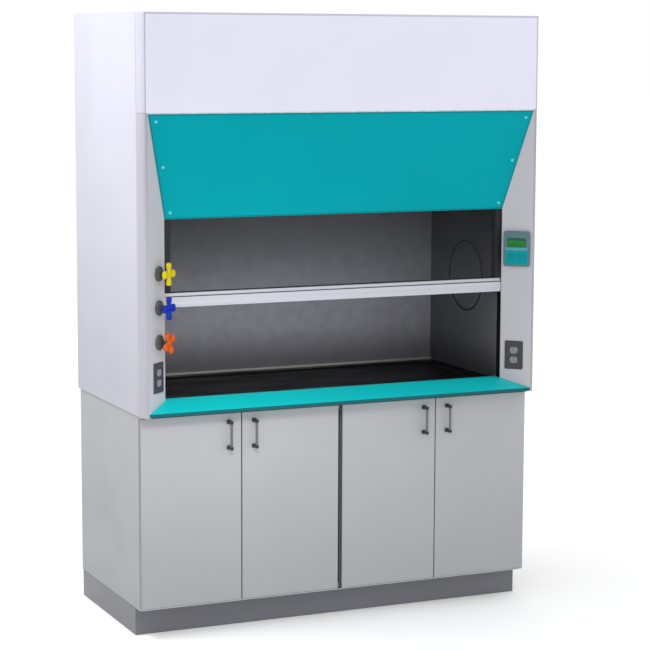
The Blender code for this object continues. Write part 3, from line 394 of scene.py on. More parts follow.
palette(drawn_metal,
        satin_aluminium=((0.525, 0.525, 0.58), 0, 0.4, 0.35),
        dark_track=((0.013, 0.013, 0.015), 2, 0.46, 0.4),
        brushed_steel=((0.52, 0.52, 0.55), 2, 0.34),
        shaft_steel=((0.45, 0.45, 0.47), 0, 0.28),
        stainless=((0.47, 0.455, 0.42), 0, 0.36, 0.6),
        zinc_screw=((0.62, 0.63, 0.66), 0, 0.3),
        gland_metal=((0.10, 0.098, 0.10), 2, 0.32, 0.7),
        handle_metal=((0.16, 0.16, 0.18), 2, 0.3, 0.6))
palette(sand_cast_iron, cast_iron=((0.10, 0.10, 0.11),))

# %% [markdown]
# ### Mouldings, rubber, glass and the display
#
# Moulded plastic copies the spark-eroded texture of its tool. Rubber is darker and duller, with
# a bloom of dust. Sash glass only has to show its reflection, so it is a nearly clear surface
# whose opacity grows at a glancing angle. The display glows through a grid of cells.

# %% Plastic and rubber
def moulded(name, color, roughness=0.42, sheen=0.35, edge_light=1.35):
    finish = Finish(name)
    spark = finish.noise(0.0009, 2.0) + finish.cells(0.0012) * 0.5
    greasy = finish.patches(0.018, 0.4, 0.7, 4.0)
    surface = finish.mix(finish.rubbed(0.006) * 0.6, finish.shade(color, 0.05, 0.02),
                         tone(color, edge_light, 0.01))
    finish.done(surface, roughness - greasy * 0.08, finish.relief(spark, 0.00005), Specular_IOR_Level=sheen)


def rubber_compound(name, color):
    finish = Finish(name)
    bloom = finish.patches(0.03, 0.45, 0.75, 5.0)
    surface = finish.mix(bloom * 0.4, color, tone(color, 2, 0.015))
    finish.done(surface, 0.72 + bloom * 0.12, finish.relief(finish.noise(0.0008, 3.0), 0.00006))


palette(moulded,
        dark_plastic=((0.030, 0.030, 0.036), 0.4, 0.35, 2.0),
        flange_plastic=((0.085, 0.083, 0.086), 0.36, 0.35, 1.8),
        socket_plastic=((0.056, 0.053, 0.062), 0.5, 0.25),
        outlet_plastic=((0.25, 0.25, 0.275), 0.4),
        bezel_plastic=((0.10, 0.18, 0.22), 0.45, 0.2),
        key_plastic=((0.0, 0.285, 0.32), 0.55, 0.1),
        pale_key_plastic=((0.06, 0.36, 0.39), 0.5, 0.2),
        soft_key_plastic=((0.002, 0.265, 0.29), 0.5, 0.12),
        yellow_plastic=((0.55, 0.45, 0.004), 0.4, 0.25),
        blue_plastic=((0.0, 0.020, 0.34), 0.4, 0.2),
        orange_plastic=((0.56, 0.085, 0.003), 0.4, 0.25),
        mask_plastic=((0.006, 0.085, 0.05), 0.35),
        bar_ink=((0.006, 0.11, 0.02), 0.3))
palette(rubber_compound, belt_rubber=((0.018, 0.018, 0.019),), pale_seal=((0.50, 0.58, 0.62),))

# %% Glass, diffuser and display
def clear_pane(name):
    finish = Finish(name)
    glancing = finish.node("ShaderNodeLayerWeight", {"Blend": 0.35}, "Fresnel")
    film = finish.patches(0.2, 0.45, 0.8, 5.0)
    ripple = finish.relief(finish.noise(0.5, 1.0), 0.00001)
    finish.done(finish.mix(film, (0.012, 0.013, 0.015), (0.022, 0.023, 0.025)), 0.06 + film * 0.04, ripple,
                Alpha=0.07 + glancing * 0.2 + film * 0.015)


def opal_sheet(name, color):
    finish = Finish(name)
    yellowed = finish.patches(0.2, 0.4, 0.8, 3.0)
    surface = finish.mix(yellowed, color, (0.80, 0.78, 0.68))
    finish.done(surface, 0.25 + yellowed * 0.1, finish.relief(finish.cells(0.004, 0.0), 0.0008),
                Subsurface_Weight=0.1)


def glowing_display(name):
    finish = Finish(name)
    grid = finish.ramp(finish.cells(0.0016, 0.0), 0.25, 0.6)
    cloudy = finish.patches(0.02, 0.3, 0.7)
    lit = finish.mix(cloudy, (0.004, 0.15, 0.012), (0.012, 0.23, 0.02))
    surface = finish.mix(grid * 0.4, lit, (0.004, 0.12, 0.012))
    finish.done(surface, 0.16 + cloudy * 0.05, finish.relief(grid, 0.00002), Specular_IOR_Level=0.15,
                Emission_Color=surface, Emission_Strength=0.35)


palette(clear_pane, sash_glass=())
palette(opal_sheet, lamp_diffuser=((0.84, 0.84, 0.81),))
palette(glowing_display, display_green=())

# %% [markdown]
# ## From loose triangles to a softened solid
#
# A solid arrives as loose triangles with knife edges. No real edge is that sharp: board is
# edged, sheet is folded, plastic is moulded with a radius. Welding a copy and dissolving its
# flat faces brings back whole panels, and a narrow bevel round every true corner catches the
# light as the real edge does. The new faces are marked, which is how a finish finds them.

# %% Weld, dissolve and bevel a copy
def whole(node):
    """A welded copy of a solid, with each flat face in one piece."""
    form = bmesh.new()
    form.from_mesh(nodes[node].data)
    bmesh.ops.remove_doubles(form, verts=form.verts, dist=0.00002)
    bmesh.ops.dissolve_limit(form, angle_limit=math.radians(0.6), verts=form.verts, edges=form.edges)
    return form


def face_layer(form, name):
    return form.faces.layers.float.get(name) or form.faces.layers.float.new(name)


def tag(form, name, chosen, value=1.0):
    """Mark the chosen faces on an attribute that a finish reads."""
    layer = face_layer(form, name)
    for face in form.faces:
        if chosen(face):
            face[layer] = value
    return form


def soften(form, width, segments=2, corner=32):
    """Round every edge sharper than corner degrees, and mark the faces that makes."""
    edge = face_layer(form, "edge")
    sharp = [e for e in form.edges if len(e.link_faces) == 2 and e.calc_face_angle() > math.radians(corner)]
    made = bmesh.ops.bevel(form, geom=sharp, offset=width, offset_type="OFFSET", segments=segments,
                           profile=0.5, affect="EDGES", clamp_overlap=True)
    for face in made["faces"]:
        face[edge] = 1.0
    return form


print("solids can be softened")

# %% Making and settling pieces
def placed(name, data):
    """A new object in the scene."""
    made = bpy.data.objects.new(name, data)
    bpy.context.scene.collection.objects.link(made)
    return made


def even_shading(piece):
    piece.modifiers.new("even_shading", "WEIGHTED_NORMAL").keep_sharp = True
    return piece


def new_piece(name, form, paint, smooth=50):
    """A smooth-shaded object from a bmesh, its flat faces kept flat."""
    mesh = bpy.data.meshes.new(name)
    form.to_mesh(mesh)
    form.free()
    mesh.materials.append(paints[paint])
    mesh.shade_smooth()
    mesh.set_sharp_from_angle(angle=math.radians(smooth))
    return even_shading(placed(name, mesh))


def settle(piece, body, *stands_for, slot=None):
    """Say what carries a piece and which solids it stands for, and hide those solids. The slot argument is
    not used.
    """
    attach(piece, body)
    if stands_for:
        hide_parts(*stands_for)
    return piece


def added(name, form, paint, body="root", smooth=50):
    """A piece that stands for no solid."""
    return settle(new_piece(name, form, paint, smooth), body)


def stand_in(node, name, form, paint, slot=None):
    """A piece that stands for a solid and moves as it does."""
    return settle(new_piece(name, form, paint), nodes[node]["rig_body"], node, slot=slot)


def refined(node, name, paint, width, segments=2, slot=None):
    """A softened copy of a solid, in its place."""
    return stand_in(node, name, soften(whole(node), width, segments), paint, slot)


def span(low, high):
    """The middle and the size of a box."""
    return (low + high) / 2, high - low


print("pieces can be settled")

# %% [markdown]
# ## Casework: panels, posts and cabinets
#
# These pieces have the right shape already and only need their edges. Sheet steel folds on a
# radius near its own thickness, board edges are rounded by about a millimetre, and cast or
# machined parts by more, so the width of the bevel is chosen by how each one is made. Some
# faces are marked for a darker colour, which is painted shade: every face of each post but its
# slanted inner face, a band along the upper fascia's top, a border round the teal fascia and
# the sill's front lip.

# %% Panels, posts and fascias
SHEET_EDGE, BOARD_EDGE, LINING_EDGE = 0.0009, 0.0013, 0.0008
TOP_SHADE_BAND, BORDER = 0.008, 0.008
for word, side in SIDES:
    refined(f"{word}_side_panel", f"{word}_side_board", "white_laminate", 0.0018, 3)
    # Every face of the post but its slanted inner face is marked for a darker colour: painted shade.
    post = tag(soften(whole(f"{word}_post"), 0.0016), "nose", lambda face: face.normal.x * side > -0.45)
    stand_in(f"{word}_post", f"{word}_post_sheet", post, "post_enamel")
    refined(f"{word}_corner_trim", f"{word}_corner_sheet", "trim_enamel", 0.0018)
    refined(f"{word}_liner", f"{word}_lining", "liner_board", LINING_EDGE)
    refined(f"{word}_sash_track", f"{word}_sash_channel", "dark_track", 0.0005)
    refined(f"{word}_counterweight", f"{word}_iron_weight", "cast_iron", 0.0025, 3)
# A band along the top of the upper fascia is marked for a darker colour: painted shade.
form = soften(whole("upper_fascia"), SHEET_EDGE)
fold = max(v.co.z for v in form.verts) - TOP_SHADE_BAND
everything = form.verts[:] + form.edges[:] + form.faces[:]
bmesh.ops.bisect_plane(form, geom=everything, plane_co=(0, 0, fold), plane_no=UP)
tag(form, "nose", lambda face: face.calc_center_median().z > fold, 0.8)
stand_in("upper_fascia", "upper_fascia_sheet", form, "white_enamel")
# A border round the teal fascia's front is marked for a darker colour: painted shade.
form = soften(whole("lower_fascia"), SHEET_EDGE)
nose = face_layer(form, "nose")
front = max((f for f in form.faces if f.normal.y < 0), key=lambda f: f.calc_area())
for face in bmesh.ops.inset_individual(form, faces=[front], thickness=BORDER)["faces"]:
    face[nose] = 1.0
stand_in("lower_fascia", "lower_fascia_sheet", form, "teal_panel")
# The sill's front lip is marked for a darker colour: painted shade.
form = tag(soften(whole("sill"), 0.0012, 3), "nose", lambda face: face.normal.y < -0.85)
stand_in("sill", "sill_sheet", form, "teal_enamel")
refined("plinth", "plinth_boards", "plinth_board", BOARD_EDGE)
refined("rear_strip", "rear_trim", "stainless", 0.0006)
LEVELS = ("lower", "upper")
for level in LEVELS:
    refined(f"{level}_baffle", f"{level}_baffle_board", "back_board", LINING_EDGE)
refined("ceiling_liner", "ceiling_board", "liner_board", LINING_EDGE)
for level in LEVELS:
    refined(f"{level}_pivot_rail", f"{level}_pivot_strip", "brushed_steel", 0.0004)

# %% Doors
DOORS = ("left_outer", "left_inner", "right_inner", "right_outer")
for word in DOORS:
    # Each door's side faces are marked as edge faces, so they take the dark edge colour: painted shadow in
    # the gaps between the doors.
    door = tag(soften(whole(f"{word}_door"), 0.0016, 3), "edge", lambda face: abs(face.normal.x) > 0.9)
    stand_in(f"{word}_door", f"{word}_door_board", door, "grey_laminate")
print("doors:", ", ".join(DOORS))

# %% [markdown]
# ## Skinning loops of points
#
# Handles, flanges, collars and the worktop are all stacks of outlines: a circle, a rounded
# rectangle or a ring at each height, joined by a skin. One function skins any such stack, and
# a profile turned round an axis is just a stack of circles.

# %% Stacks of outlines
def skin(loops, cap_low=True, cap_high=True, form=None):
    """A surface over loops of points, all with as many points, closed by flat caps."""
    form = form or bmesh.new()
    rows = [[form.verts.new(point) for point in loop] for loop in loops]
    count = len(rows[0])
    for low, high in zip(rows, rows[1:]):
        for i in range(count):
            j = (i + 1) % count
            form.faces.new((low[i], low[j], high[j], high[i]))
    if cap_low:
        form.faces.new(rows[0][::-1])
    if cap_high:
        form.faces.new(rows[-1])
    return form


def ring_skin(loops):
    """A skin whose last loop is joined to its first."""
    form = skin(loops + loops[:1], False, False)
    bmesh.ops.remove_doubles(form, verts=form.verts, dist=1e-6)
    bmesh.ops.recalc_face_normals(form, faces=form.faces)
    return form


def circle(radius, height, steps=48):
    turns = [2 * math.pi * i / steps for i in range(steps)]
    return [(radius * math.cos(t), radius * math.sin(t), height) for t in turns]


def turned(profile, steps=48, ring=False):
    """(radius, height) pairs, lowest first, turned about Z. A ring's profile closes on itself."""
    loops = [circle(radius, height, steps) for radius, height in profile]
    return ring_skin(loops) if ring else skin(loops)


def outline(width, tall, radius, height, middle=(0, 0), steps=6):
    """A rounded rectangle at a height, counterclockwise from its right-hand side."""
    loop = []
    corners = ((1, 1, 0), (-1, 1, 90), (-1, -1, 180), (1, -1, 270))
    for sign_x, sign_y, start in corners:
        for i in range(steps + 1):
            turn = math.radians(start + 90 * i / steps)
            loop.append((middle[0] + sign_x * (width / 2 - radius) + radius * math.cos(turn),
                         middle[1] + sign_y * (tall / 2 - radius) + radius * math.sin(turn), height))
    return loop


def quarter(radius, steps=4):
    """How far in and how far up a rounded edge is, at each step from its foot."""
    turns = [math.radians(90 * i / steps) for i in range(steps + 1)]
    return [(radius * (1 - math.cos(t)), radius * math.sin(t)) for t in turns]


def pillow(width, tall, radius, low, high, edge, middle=(0, 0)):
    """A plate with rounded corners whose front edge is rounded too."""
    loops = [outline(width, tall, radius, low, middle)]
    for inset, rise in quarter(edge):
        loops.append(outline(width - 2 * inset, tall - 2 * inset, max(radius - inset, radius * 0.2),
                             high - edge + rise, middle))
    return skin(loops)


print("outlines can be skinned")

# %% Moving and joining forms
def moved(form, matrix):
    form.transform(matrix)
    return form


def spun(axis, degrees):
    return Matrix.Rotation(math.radians(degrees), 4, axis)


def merge(form, other):
    """Add one bmesh to another, and let it go."""
    mesh = bpy.data.meshes.new("passing")
    other.to_mesh(mesh)
    other.free()
    form.from_mesh(mesh)
    bpy.data.meshes.remove(mesh)
    return form


def made_plain(piece):
    """Keep what a piece's modifiers make of its mesh, and drop them."""
    graph = bpy.context.evaluated_depsgraph_get()
    plain = bpy.data.meshes.new_from_object(piece.evaluated_get(graph))
    piece.modifiers.clear()
    piece.data = plain
    return plain


print("forms can be moved and joined")

# %% [markdown]
# ## Screws by Geometry Nodes
#
# A hood has dozens of identical screws. One node tree makes a screw head, cuts a cross in it,
# and sets a copy on each point of a small mesh, facing as that point says and turned by a
# random amount, because no fitter lines screws up. The copies are then made real, since an
# instance is only a reference and would be lost when the model is exported.

# %% The ends that every tree shares
def tree_board(name, made, given, numbers, paint):
    """A tree's board, and a wire for each thing that it is given."""
    tree = bpy.data.node_groups.new(name, "GeometryNodeTree")
    tree.is_modifier = True
    ends = [("OUTPUT", made, "Geometry"), ("INPUT", given, "Geometry")]
    ends += [("INPUT", number, "Float") for number in numbers] + [("INPUT", paint, "Material")]
    for way, label, kind in ends:
        tree.interface.new_socket(label, in_out=way, socket_type=f"NodeSocket{kind}")
    board = Board(tree)
    inputs = tree.nodes.new("NodeGroupInput").outputs
    return board, [Wire(board, socket) for socket in inputs[:len(numbers) + 2]]


def finished_tree(board, copies, paint):
    """The tree, closed by making its copies real and giving them their material."""
    real = board.node("GeometryNodeRealizeInstances", {"Geometry": copies})
    painted = board.node("GeometryNodeSetMaterial", {"Geometry": real, "Material": paint})
    out = board.tree.nodes.new("NodeGroupOutput")
    board.tree.links.new(painted.socket, out.inputs[0])
    print(board.tree.name, "has", len(board.tree.nodes), "nodes")
    return board.tree


def pointed(board, vector):
    """The rotation that points Z along a vector."""
    return board.node("FunctionNodeAlignRotationToVector", {"Vector": vector}, axis="Z")


print("trees can be opened and closed")

# %% The screw tree
SCREW_SIDES, SEED, QUARTER_TURN = 20, 7, 1.57


def screw_tree():
    sizes = ("Head Radius", "Head Height", "Cross Width")
    board, given = tree_board("set_screws", "Screws", "Points", sizes, "Metal")
    points, radius, height, width, metal = given
    half = height * 0.5
    dome, flank = [board.node("GeometryNodeMeshCone", {"Vertices": SCREW_SIDES, "Radius Top": radius * head,
                                                       "Radius Bottom": radius * foot, "Depth": half})
                   for foot, head in ((0.94, 0.6), (1.0, 0.94))]
    dome = board.node("GeometryNodeTransform", {"Geometry": dome, "Translation": board.vector(z=half)})
    head = board.joined((dome, flank))
    head = board.node("GeometryNodeMergeByDistance", {"Geometry": head, "Distance": 0.00001})
    top = board.vector(z=height)
    bars = []
    for length, across in ((radius * 1.1, width), (width, radius * 1.1)):
        bar = board.node("GeometryNodeMeshCube", {"Size": board.vector(length, across, height * 0.7)})
        bars.append(board.node("GeometryNodeTransform", {"Geometry": bar, "Translation": top}))
    cut = board.node("GeometryNodeMeshBoolean", {"Mesh 1": head, "Mesh 2": board.joined(bars)},
                     operation="DIFFERENCE", solver="EXACT")
    facing = board.node("GeometryNodeInputNamedAttribute", {"Name": "facing"}, data_type="FLOAT_VECTOR")
    spin = board.node("FunctionNodeRandomValue", {2: 0.0, 3: QUARTER_TURN, "Seed": SEED}, 1,
                      data_type="FLOAT")
    twist = board.node("FunctionNodeAxisAngleToRotation", {"Axis": (0, 0, 1), "Angle": spin})
    turn = board.node("FunctionNodeRotateRotation", {"Rotation": pointed(board, facing), "Rotate By": twist},
                      rotation_space="LOCAL")
    spots = board.node("GeometryNodeMeshToPoints", {"Mesh": points})
    copies = board.node("GeometryNodeInstanceOnPoints", {"Points": spots, "Instance": cut, "Rotation": turn})
    return finished_tree(board, copies, metal)


set_screws = screw_tree()

# %% Growing a tree's result into a plain mesh
def grown(name, mesh, tree, values, paint):
    """What a tree makes from a mesh, as a plain mesh on an object."""
    piece = placed(name, mesh)
    change = piece.modifiers.new("grow", "NODES")
    change.node_group = tree
    sockets = {item.name: item.identifier for item in tree.interface.items_tree if item.in_out == "INPUT"}
    for key, value in values.items():
        change[sockets[key]] = value
    plain = made_plain(piece)
    plain.name = name
    if not plain.materials:
        plain.materials.append(paint)
    plain.shade_smooth()
    plain.set_sharp_from_angle(angle=math.radians(30))
    return piece


def screws(name, seeds, radius, height, paint="zinc_screw", body="root"):
    """One screw for each (place, facing)."""
    mesh = bpy.data.meshes.new(name)
    mesh.from_pydata([tuple(place) for place, _ in seeds], [], [])
    facing = mesh.attributes.new("facing", "FLOAT_VECTOR", "POINT")
    for i, (_, direction) in enumerate(seeds):
        facing.data[i].vector = Vector(direction)
    metal = paints[paint]
    values = {"Head Radius": radius, "Head Height": height, "Cross Width": radius * 0.26, "Metal": metal}
    return settle(grown(name, mesh, set_screws, values, metal), body)


print("seeds can be grown")

# %% [markdown]
# ## Fastening the fascia and the panels
#
# Six small screws hold the slanted teal fascia, three down each sloping edge. Their places
# follow from the fascia's own corners. The back and the roof are each held along two edges,
# by countersunk screws at an even pitch.

# %% The fascia's screws
def facing_corners(node, direction):
    """The corners of the largest flat face of a solid that faces a direction, and its normal."""
    form = whole(node)
    direction = Vector(direction).normalized()
    face = max(form.faces, key=lambda f: f.calc_area() * (f.normal.dot(direction) > 0.8))
    corners = [v.co.copy() for v in face.verts]
    normal = face.normal.copy()
    form.free()
    return corners, normal


SCREW_INSET, CORNER_REACH, PROUD = 0.026, 0.004, 0.0004
corners, fascia_out = facing_corners("lower_fascia", (0, -1, 0.1))
top = max(c.z for c in corners)
bottom = min(c.z for c in corners)
seeds = []
for share in (0.07, 0.5, 0.935):
    for _, side in SIDES:
        upper = max((c for c in corners if c.z > top - CORNER_REACH), key=lambda c: c.x * side)
        lower = max((c for c in corners if c.z < bottom + CORNER_REACH), key=lambda c: c.x * side)
        spot = upper.lerp(lower, share)
        spot.x -= side * SCREW_INSET
        seeds.append((spot + fascia_out * PROUD, fascia_out))
screws("fascia_screws", seeds, 0.0062, 0.0022, "pale_teal")
print("fascia screws at", [[round(v, 3) for v in place] for place, _ in seeds])

# %% Cutting holes
def carved(name, form, paint, cutter_form, turn=None):
    """A piece with a form cut out of it, made plain, and turned into place."""
    piece = new_piece(name, form, paint)
    cutter_mesh = bpy.data.meshes.new("cutter")
    bmesh.ops.recalc_face_normals(cutter_form, faces=cutter_form.faces)
    cutter_form.to_mesh(cutter_mesh)
    cutter_form.free()
    cutter = placed("cutter", cutter_mesh)
    change = piece.modifiers.new("cut", "BOOLEAN")
    change.operation = "DIFFERENCE"
    change.solver = "EXACT"
    change.object = cutter
    piece.modifiers.move(len(piece.modifiers) - 1, 0)
    made_plain(piece).set_sharp_from_angle(angle=math.radians(35))
    bpy.data.objects.remove(cutter)
    if turn is not None:
        piece.data.transform(turn)
    return even_shading(piece)


def slab_form(form, width, tall, low, high, middle):
    """A plain slab added to a form, for cutting."""
    radius = min(width, tall) * 0.2
    return skin([outline(width, tall, radius, level, middle, 2) for level in (low, high)], form=form)


print("holes can be cut")

# %% Screws at an even pitch along a line
def spaced(start, end, pitch, facing):
    """Seeds from start to end, as near to a pitch as comes out even."""
    start, end = Vector(start), Vector(end)
    gaps = max(1, round((end - start).length / pitch))
    return [(start.lerp(end, i / gaps), facing) for i in range(gaps + 1)]


def countersunk(node, name, seeds, depth=0.0016, radius=0.0054):
    """A board with a cup for each of its screws, and the screws a hair below its face."""
    cups = bmesh.new()
    for place, facing in seeds:
        turn = Vector(facing).to_track_quat("Z", "Y").to_matrix().to_4x4()
        cup = turned([(radius * 0.8, -depth), (radius + 0.001, 0.001)], 20)
        merge(cups, moved(cup, Matrix.Translation(place) @ turn))
    settle(carved(name, soften(whole(node), BOARD_EDGE), "white_laminate", cups), "root", node)
    sunk = [(Vector(place) - Vector(facing) * (depth - 0.0003), facing) for place, facing in seeds]
    screws(f"{name}_screws", sunk, radius * 0.78, 0.001)


INSET, BACK_PITCH, ROOF_PITCH = 0.024, 0.22, 0.27
low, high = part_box("back_panel")
back_seeds = []
for x in (low.x + INSET, high.x - INSET):
    back_seeds += spaced((x, high.y, low.z + INSET), (x, high.y, high.z - INSET), BACK_PITCH, (0, 1, 0))
countersunk("back_panel", "back_board_panel", back_seeds)
low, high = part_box("roof_panel")
roof_seeds = []
for y in (low.y + INSET * 1.5, high.y - INSET):
    roof_seeds += spaced((low.x + INSET, y, high.z), (high.x - INSET, y, high.z), ROOF_PITCH, (0, 0, 1))
countersunk("roof_panel", "roof_board", roof_seeds)
print(len(back_seeds), "screws in the back,", len(roof_seeds), "in the roof")

# %% [markdown]
# ## Cabinets
#
# A carcass is drilled with two rows of shelf-pin holes in each wall, so a shelf can be moved.
# The holes are blind, bored at an even pitch with one drill, so here they are one form of
# small turned plugs cut out in a single Boolean. Rubber buffers on the front edges stop a
# door from knocking.

# %% Carcasses with their pin holes
WALL, PIN_RADIUS, PIN_DEPTH, PIN_PITCH, PINS = 0.018, 0.0025, 0.010, 0.064, 8
SHELF_ROOM = 0.03
buffers = []
for word, side in SIDES:
    low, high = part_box(f"{word}_cabinet")
    bores = bmesh.new()
    count = 0
    for wall, turn in ((low.x + WALL, 90), (high.x - WALL, -90)):
        for y in (low.y + 0.06, high.y - 0.09):
            for step in range(PINS):
                z = low.z + 0.12 + PIN_PITCH * step
                if abs(z - (low.z + high.z) / 2) > SHELF_ROOM:
                    plug = turned([(PIN_RADIUS, -PIN_DEPTH), (PIN_RADIUS, 0.001)], 12)
                    merge(bores, moved(plug, Matrix.Translation((wall, y, z)) @ spun("Y", turn)))
                    count += 1
    boards = soften(whole(f"{word}_cabinet"), BOARD_EDGE)
    settle(carved(f"{word}_carcass", boards, "carcass_laminate", bores), "root", f"{word}_cabinet")
    for x in (low.x + 0.011, high.x - 0.011):
        buffers += [((x, low.y, z), (0, -1, 0)) for z in (low.z + 0.022, high.z - 0.024)]
screws("door_buffers", buffers, 0.0042, 0.0018, "belt_rubber")
print(count, "pin holes in a carcass,", len(buffers), "buffers")

# %% [markdown]
# ## The worktop
#
# A fume hood's worktop is dished, so that a spill stays inside its rim. The cast slab has soft
# corners everywhere: a stack of rounded rectangles runs up its outside, across the rim, down
# the slope and over the floor of the dish.

# %% The dished slab
SLAB_EDGE, SLOPE_WIDTH, SLOPE_STEPS, DISH_CORNER = 0.003, 0.016, 8, 0.042
low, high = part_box("worktop")
form = whole("worktop")
floor_level = min(f.calc_center_median().z for f in form.faces if f.normal.z > 0.9)
dish = [v.co.copy() for v in form.verts if abs(v.co.z - floor_level) < 0.0005]
form.free()
dish_low, dish_high = [Vector((pick(c.x for c in dish), pick(c.y for c in dish), 0)) for pick in (min, max)]
middle, size = span(low, high)
dish_middle, dish_size = span(dish_low, dish_high)
stack = [outline(size.x, size.y, 0.002, low.z, middle)]
for inset, rise in quarter(SLAB_EDGE):
    stack.append(outline(size.x - 2 * inset, size.y - 2 * inset, SLAB_EDGE,
                         high.z - SLAB_EDGE + rise, middle))
for i in range(SLOPE_STEPS + 1):
    share = i / SLOPE_STEPS
    fall = (high.z - floor_level) * (0.5 - 0.5 * math.cos(math.pi * share))
    inset = SLOPE_WIDTH * share
    stack.append(outline(dish_size.x - 2 * inset, dish_size.y - 2 * inset, DISH_CORNER - inset,
                         high.z - fall, dish_middle))
stand_in("worktop", "worktop_slab", skin(stack), "black_epoxy")
print("dish", [round(v, 3) for v in dish_size], "deep", round(high.z - floor_level, 4))

# %% [markdown]
# ## The sash
#
# The sash is a glass pane in a dark frame over a pale finger rail. A rubber bead holds the
# glass, and two rubber feet soften its landing. Each moves with the sash.

# %% Frame, rail and glass
refined("sash_frame", "sash_stiles", "dark_track", 0.0008)
refined("sash_rail", "sash_finger_rail", "satin_aluminium", 0.0009, 3)
refined("sash_glass", "sash_pane", "sash_glass", 0.0005, 1)
pane_low, pane_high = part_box("sash_glass")
rail_low, rail_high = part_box("sash_rail")
BEAD, GROOVE, CLEAR, THIN = 0.0035, 0.007, 0.0002, 0.0003


def bead_loop(inset, depth):
    """A rectangle inside the pane's grooved edge, at a depth."""
    reach = pane_high.x - GROOVE - inset
    low, high = pane_low.z + GROOVE + inset, pane_high.z - GROOVE - inset
    return [(-reach, depth, low), (reach, depth, low), (reach, depth, high), (-reach, depth, high)]


for word, depth, out in (("front", pane_low.y, -1), ("rear", pane_high.y, 1)):
    near, far = depth + out * CLEAR, depth + out * (BEAD + CLEAR)
    section = ((THIN, near), (THIN, far), (BEAD * 0.6, far), (BEAD, near + out * BEAD * 0.4), (BEAD, near))
    bead = ring_skin([bead_loop(*corner) for corner in section])
    added(f"{word}_glazing_bead", bead, "belt_rubber", "sash", 30)
print("pane", round(pane_high.x - pane_low.x, 3), "by", round(pane_high.z - pane_low.z, 3))

# %% Rubber feet
FOOT_HEIGHT = 0.0025
for word, side in SIDES:
    spot = (side * (rail_high.x - 0.05), (rail_low.y + rail_high.y) / 2 + 0.002, rail_low.z)
    foot = moved(pillow(0.03, 0.014, 0.005, 0, FOOT_HEIGHT, 0.0012), Matrix.Scale(-1, 4, UP))
    bmesh.ops.reverse_faces(foot, faces=foot.faces)
    added(f"{word}_sash_foot", moved(foot, Matrix.Translation(spot)), "belt_rubber", "sash")
print("sash feet", FOOT_HEIGHT * 1000, "mm thick")

# %% Painted shade and light strips: rail groove, sill lip, fascia gap and door gaps
def strip(name, low, high, paint, body="root"):
    """A soft-edged strip between two corners."""
    low, high = Vector(low), Vector(high)
    form = skin([[(low.x, low.y, z), (high.x, low.y, z), (high.x, high.y, z), (low.x, high.y, z)]
                 for z in (low.z, high.z)])
    return added(name, soften(form, min(0.0004, min(high - low) * 0.3)), paint, body)


LIP_TALL, GROOVE_SHADE_TALL, STRIP_DEPTH, STRIP_ENDS = 0.0117, 0.0046, 0.0016, 0.030
# A dark strip in the rail's groove, which is painted shade along the groove.
strip("rail_insert", (rail_low.x + 0.001, rail_low.y + 0.0003, rail_high.z - LIP_TALL - GROOVE_SHADE_TALL),
      (rail_high.x - 0.001, rail_low.y + 0.0075, rail_high.z - LIP_TALL), "dark_track", "sash")
sill_low, sill_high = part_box("sill")
cabinet_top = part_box("left_cabinet")[1].z
# A dark rubber strip under the sill's lip, which is a painted shadow line.
strip("sill_drip_strip", (sill_low.x + 0.012, sill_low.y + 0.0025, cabinet_top + 0.0006),
      (sill_high.x - 0.012, sill_low.y + 0.008, sill_low.z + 0.002), "belt_rubber")
slope_low, slope_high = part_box("lower_fascia")
fascia_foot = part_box("upper_fascia")[0].z
# A pale strip behind the gap under the upper fascia, which is painted light where the gap would show shade.
strip("fascia_seal", (slope_low.x + 0.001, slope_low.y + 0.0008, slope_high.z + 0.0002),
      (slope_high.x - 0.001, slope_low.y + 0.012, fascia_foot - 0.0002), "pale_seal")
# Dark strips at each cabinet's front edges, which are painted shadow in the gaps beside the doors.
for word, side in SIDES:
    low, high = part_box(f"{word}_cabinet")
    for end, (edge, inward) in zip(("outer", "inner"), ((low.x, 1), (high.x, -1))[::-side]):
        near, far = sorted((edge + inward * 0.0006, edge + inward * 0.0060))
        strip(f"{word}_{end}_door_gap_shadow", (near, low.y - STRIP_DEPTH, low.z + STRIP_ENDS),
              (far, low.y - 0.0001, high.z - STRIP_ENDS), "belt_rubber")
print("rail insert, drip strip, fascia seal and dust seals")

# %% [markdown]
# ## Slanted faces
#
# The posts' inner faces are turned towards the opening. Everything mounted on them is easier
# to build flat: a turned frame has X to the viewer's right, Y up and Z straight out of the
# face, and comes from the axes of the valves. Measuring a solid in that frame gives its true
# width, height and thickness.

# %% A frame on each slanted face
def slanted(side):
    out = Vector(joints["upper_valve_spindle"]["axis"])
    out.x = -side * abs(out.x)
    return Matrix((UP.cross(out), UP, out)).transposed()


def flat_box(node, turn):
    """A solid's lowest and highest corners, measured in a turned frame."""
    points = [turn.transposed() @ v.co for v in nodes[node].data.vertices]
    return [Vector([pick(p[i] for p in points) for i in range(3)]) for pick in (min, max)]


low, high = flat_box("control_panel", slanted(1))
print("control panel", [round(v, 4) for v in high - low])

# %% [markdown]
# ## Service valves
#
# Each valve has a round moulded flange on the post, a dark gland nut and spindle, and a
# four-armed grip whose arms swell towards their ends. The grip is the one soft shape here: four
# clubs and a hub are melted together by a voxel remesh and smoothed, as a moulding's fillets
# are. Yellow, blue and orange tell the services apart.

# %% Melting shapes into one moulding
def melted(name, form, paint, voxel=0.0009, passes=8):
    """Overlapping shapes made one skin, with fillets where they meet."""
    bmesh.ops.recalc_face_normals(form, faces=form.faces)
    piece = new_piece(name, form, paint)
    piece.modifiers.clear()
    join = piece.modifiers.new("join", "REMESH")
    join.mode = "VOXEL"
    join.voxel_size = voxel
    ease = piece.modifiers.new("ease", "SMOOTH")
    ease.factor = 0.5
    ease.iterations = passes
    made_plain(piece).shade_smooth()
    return piece


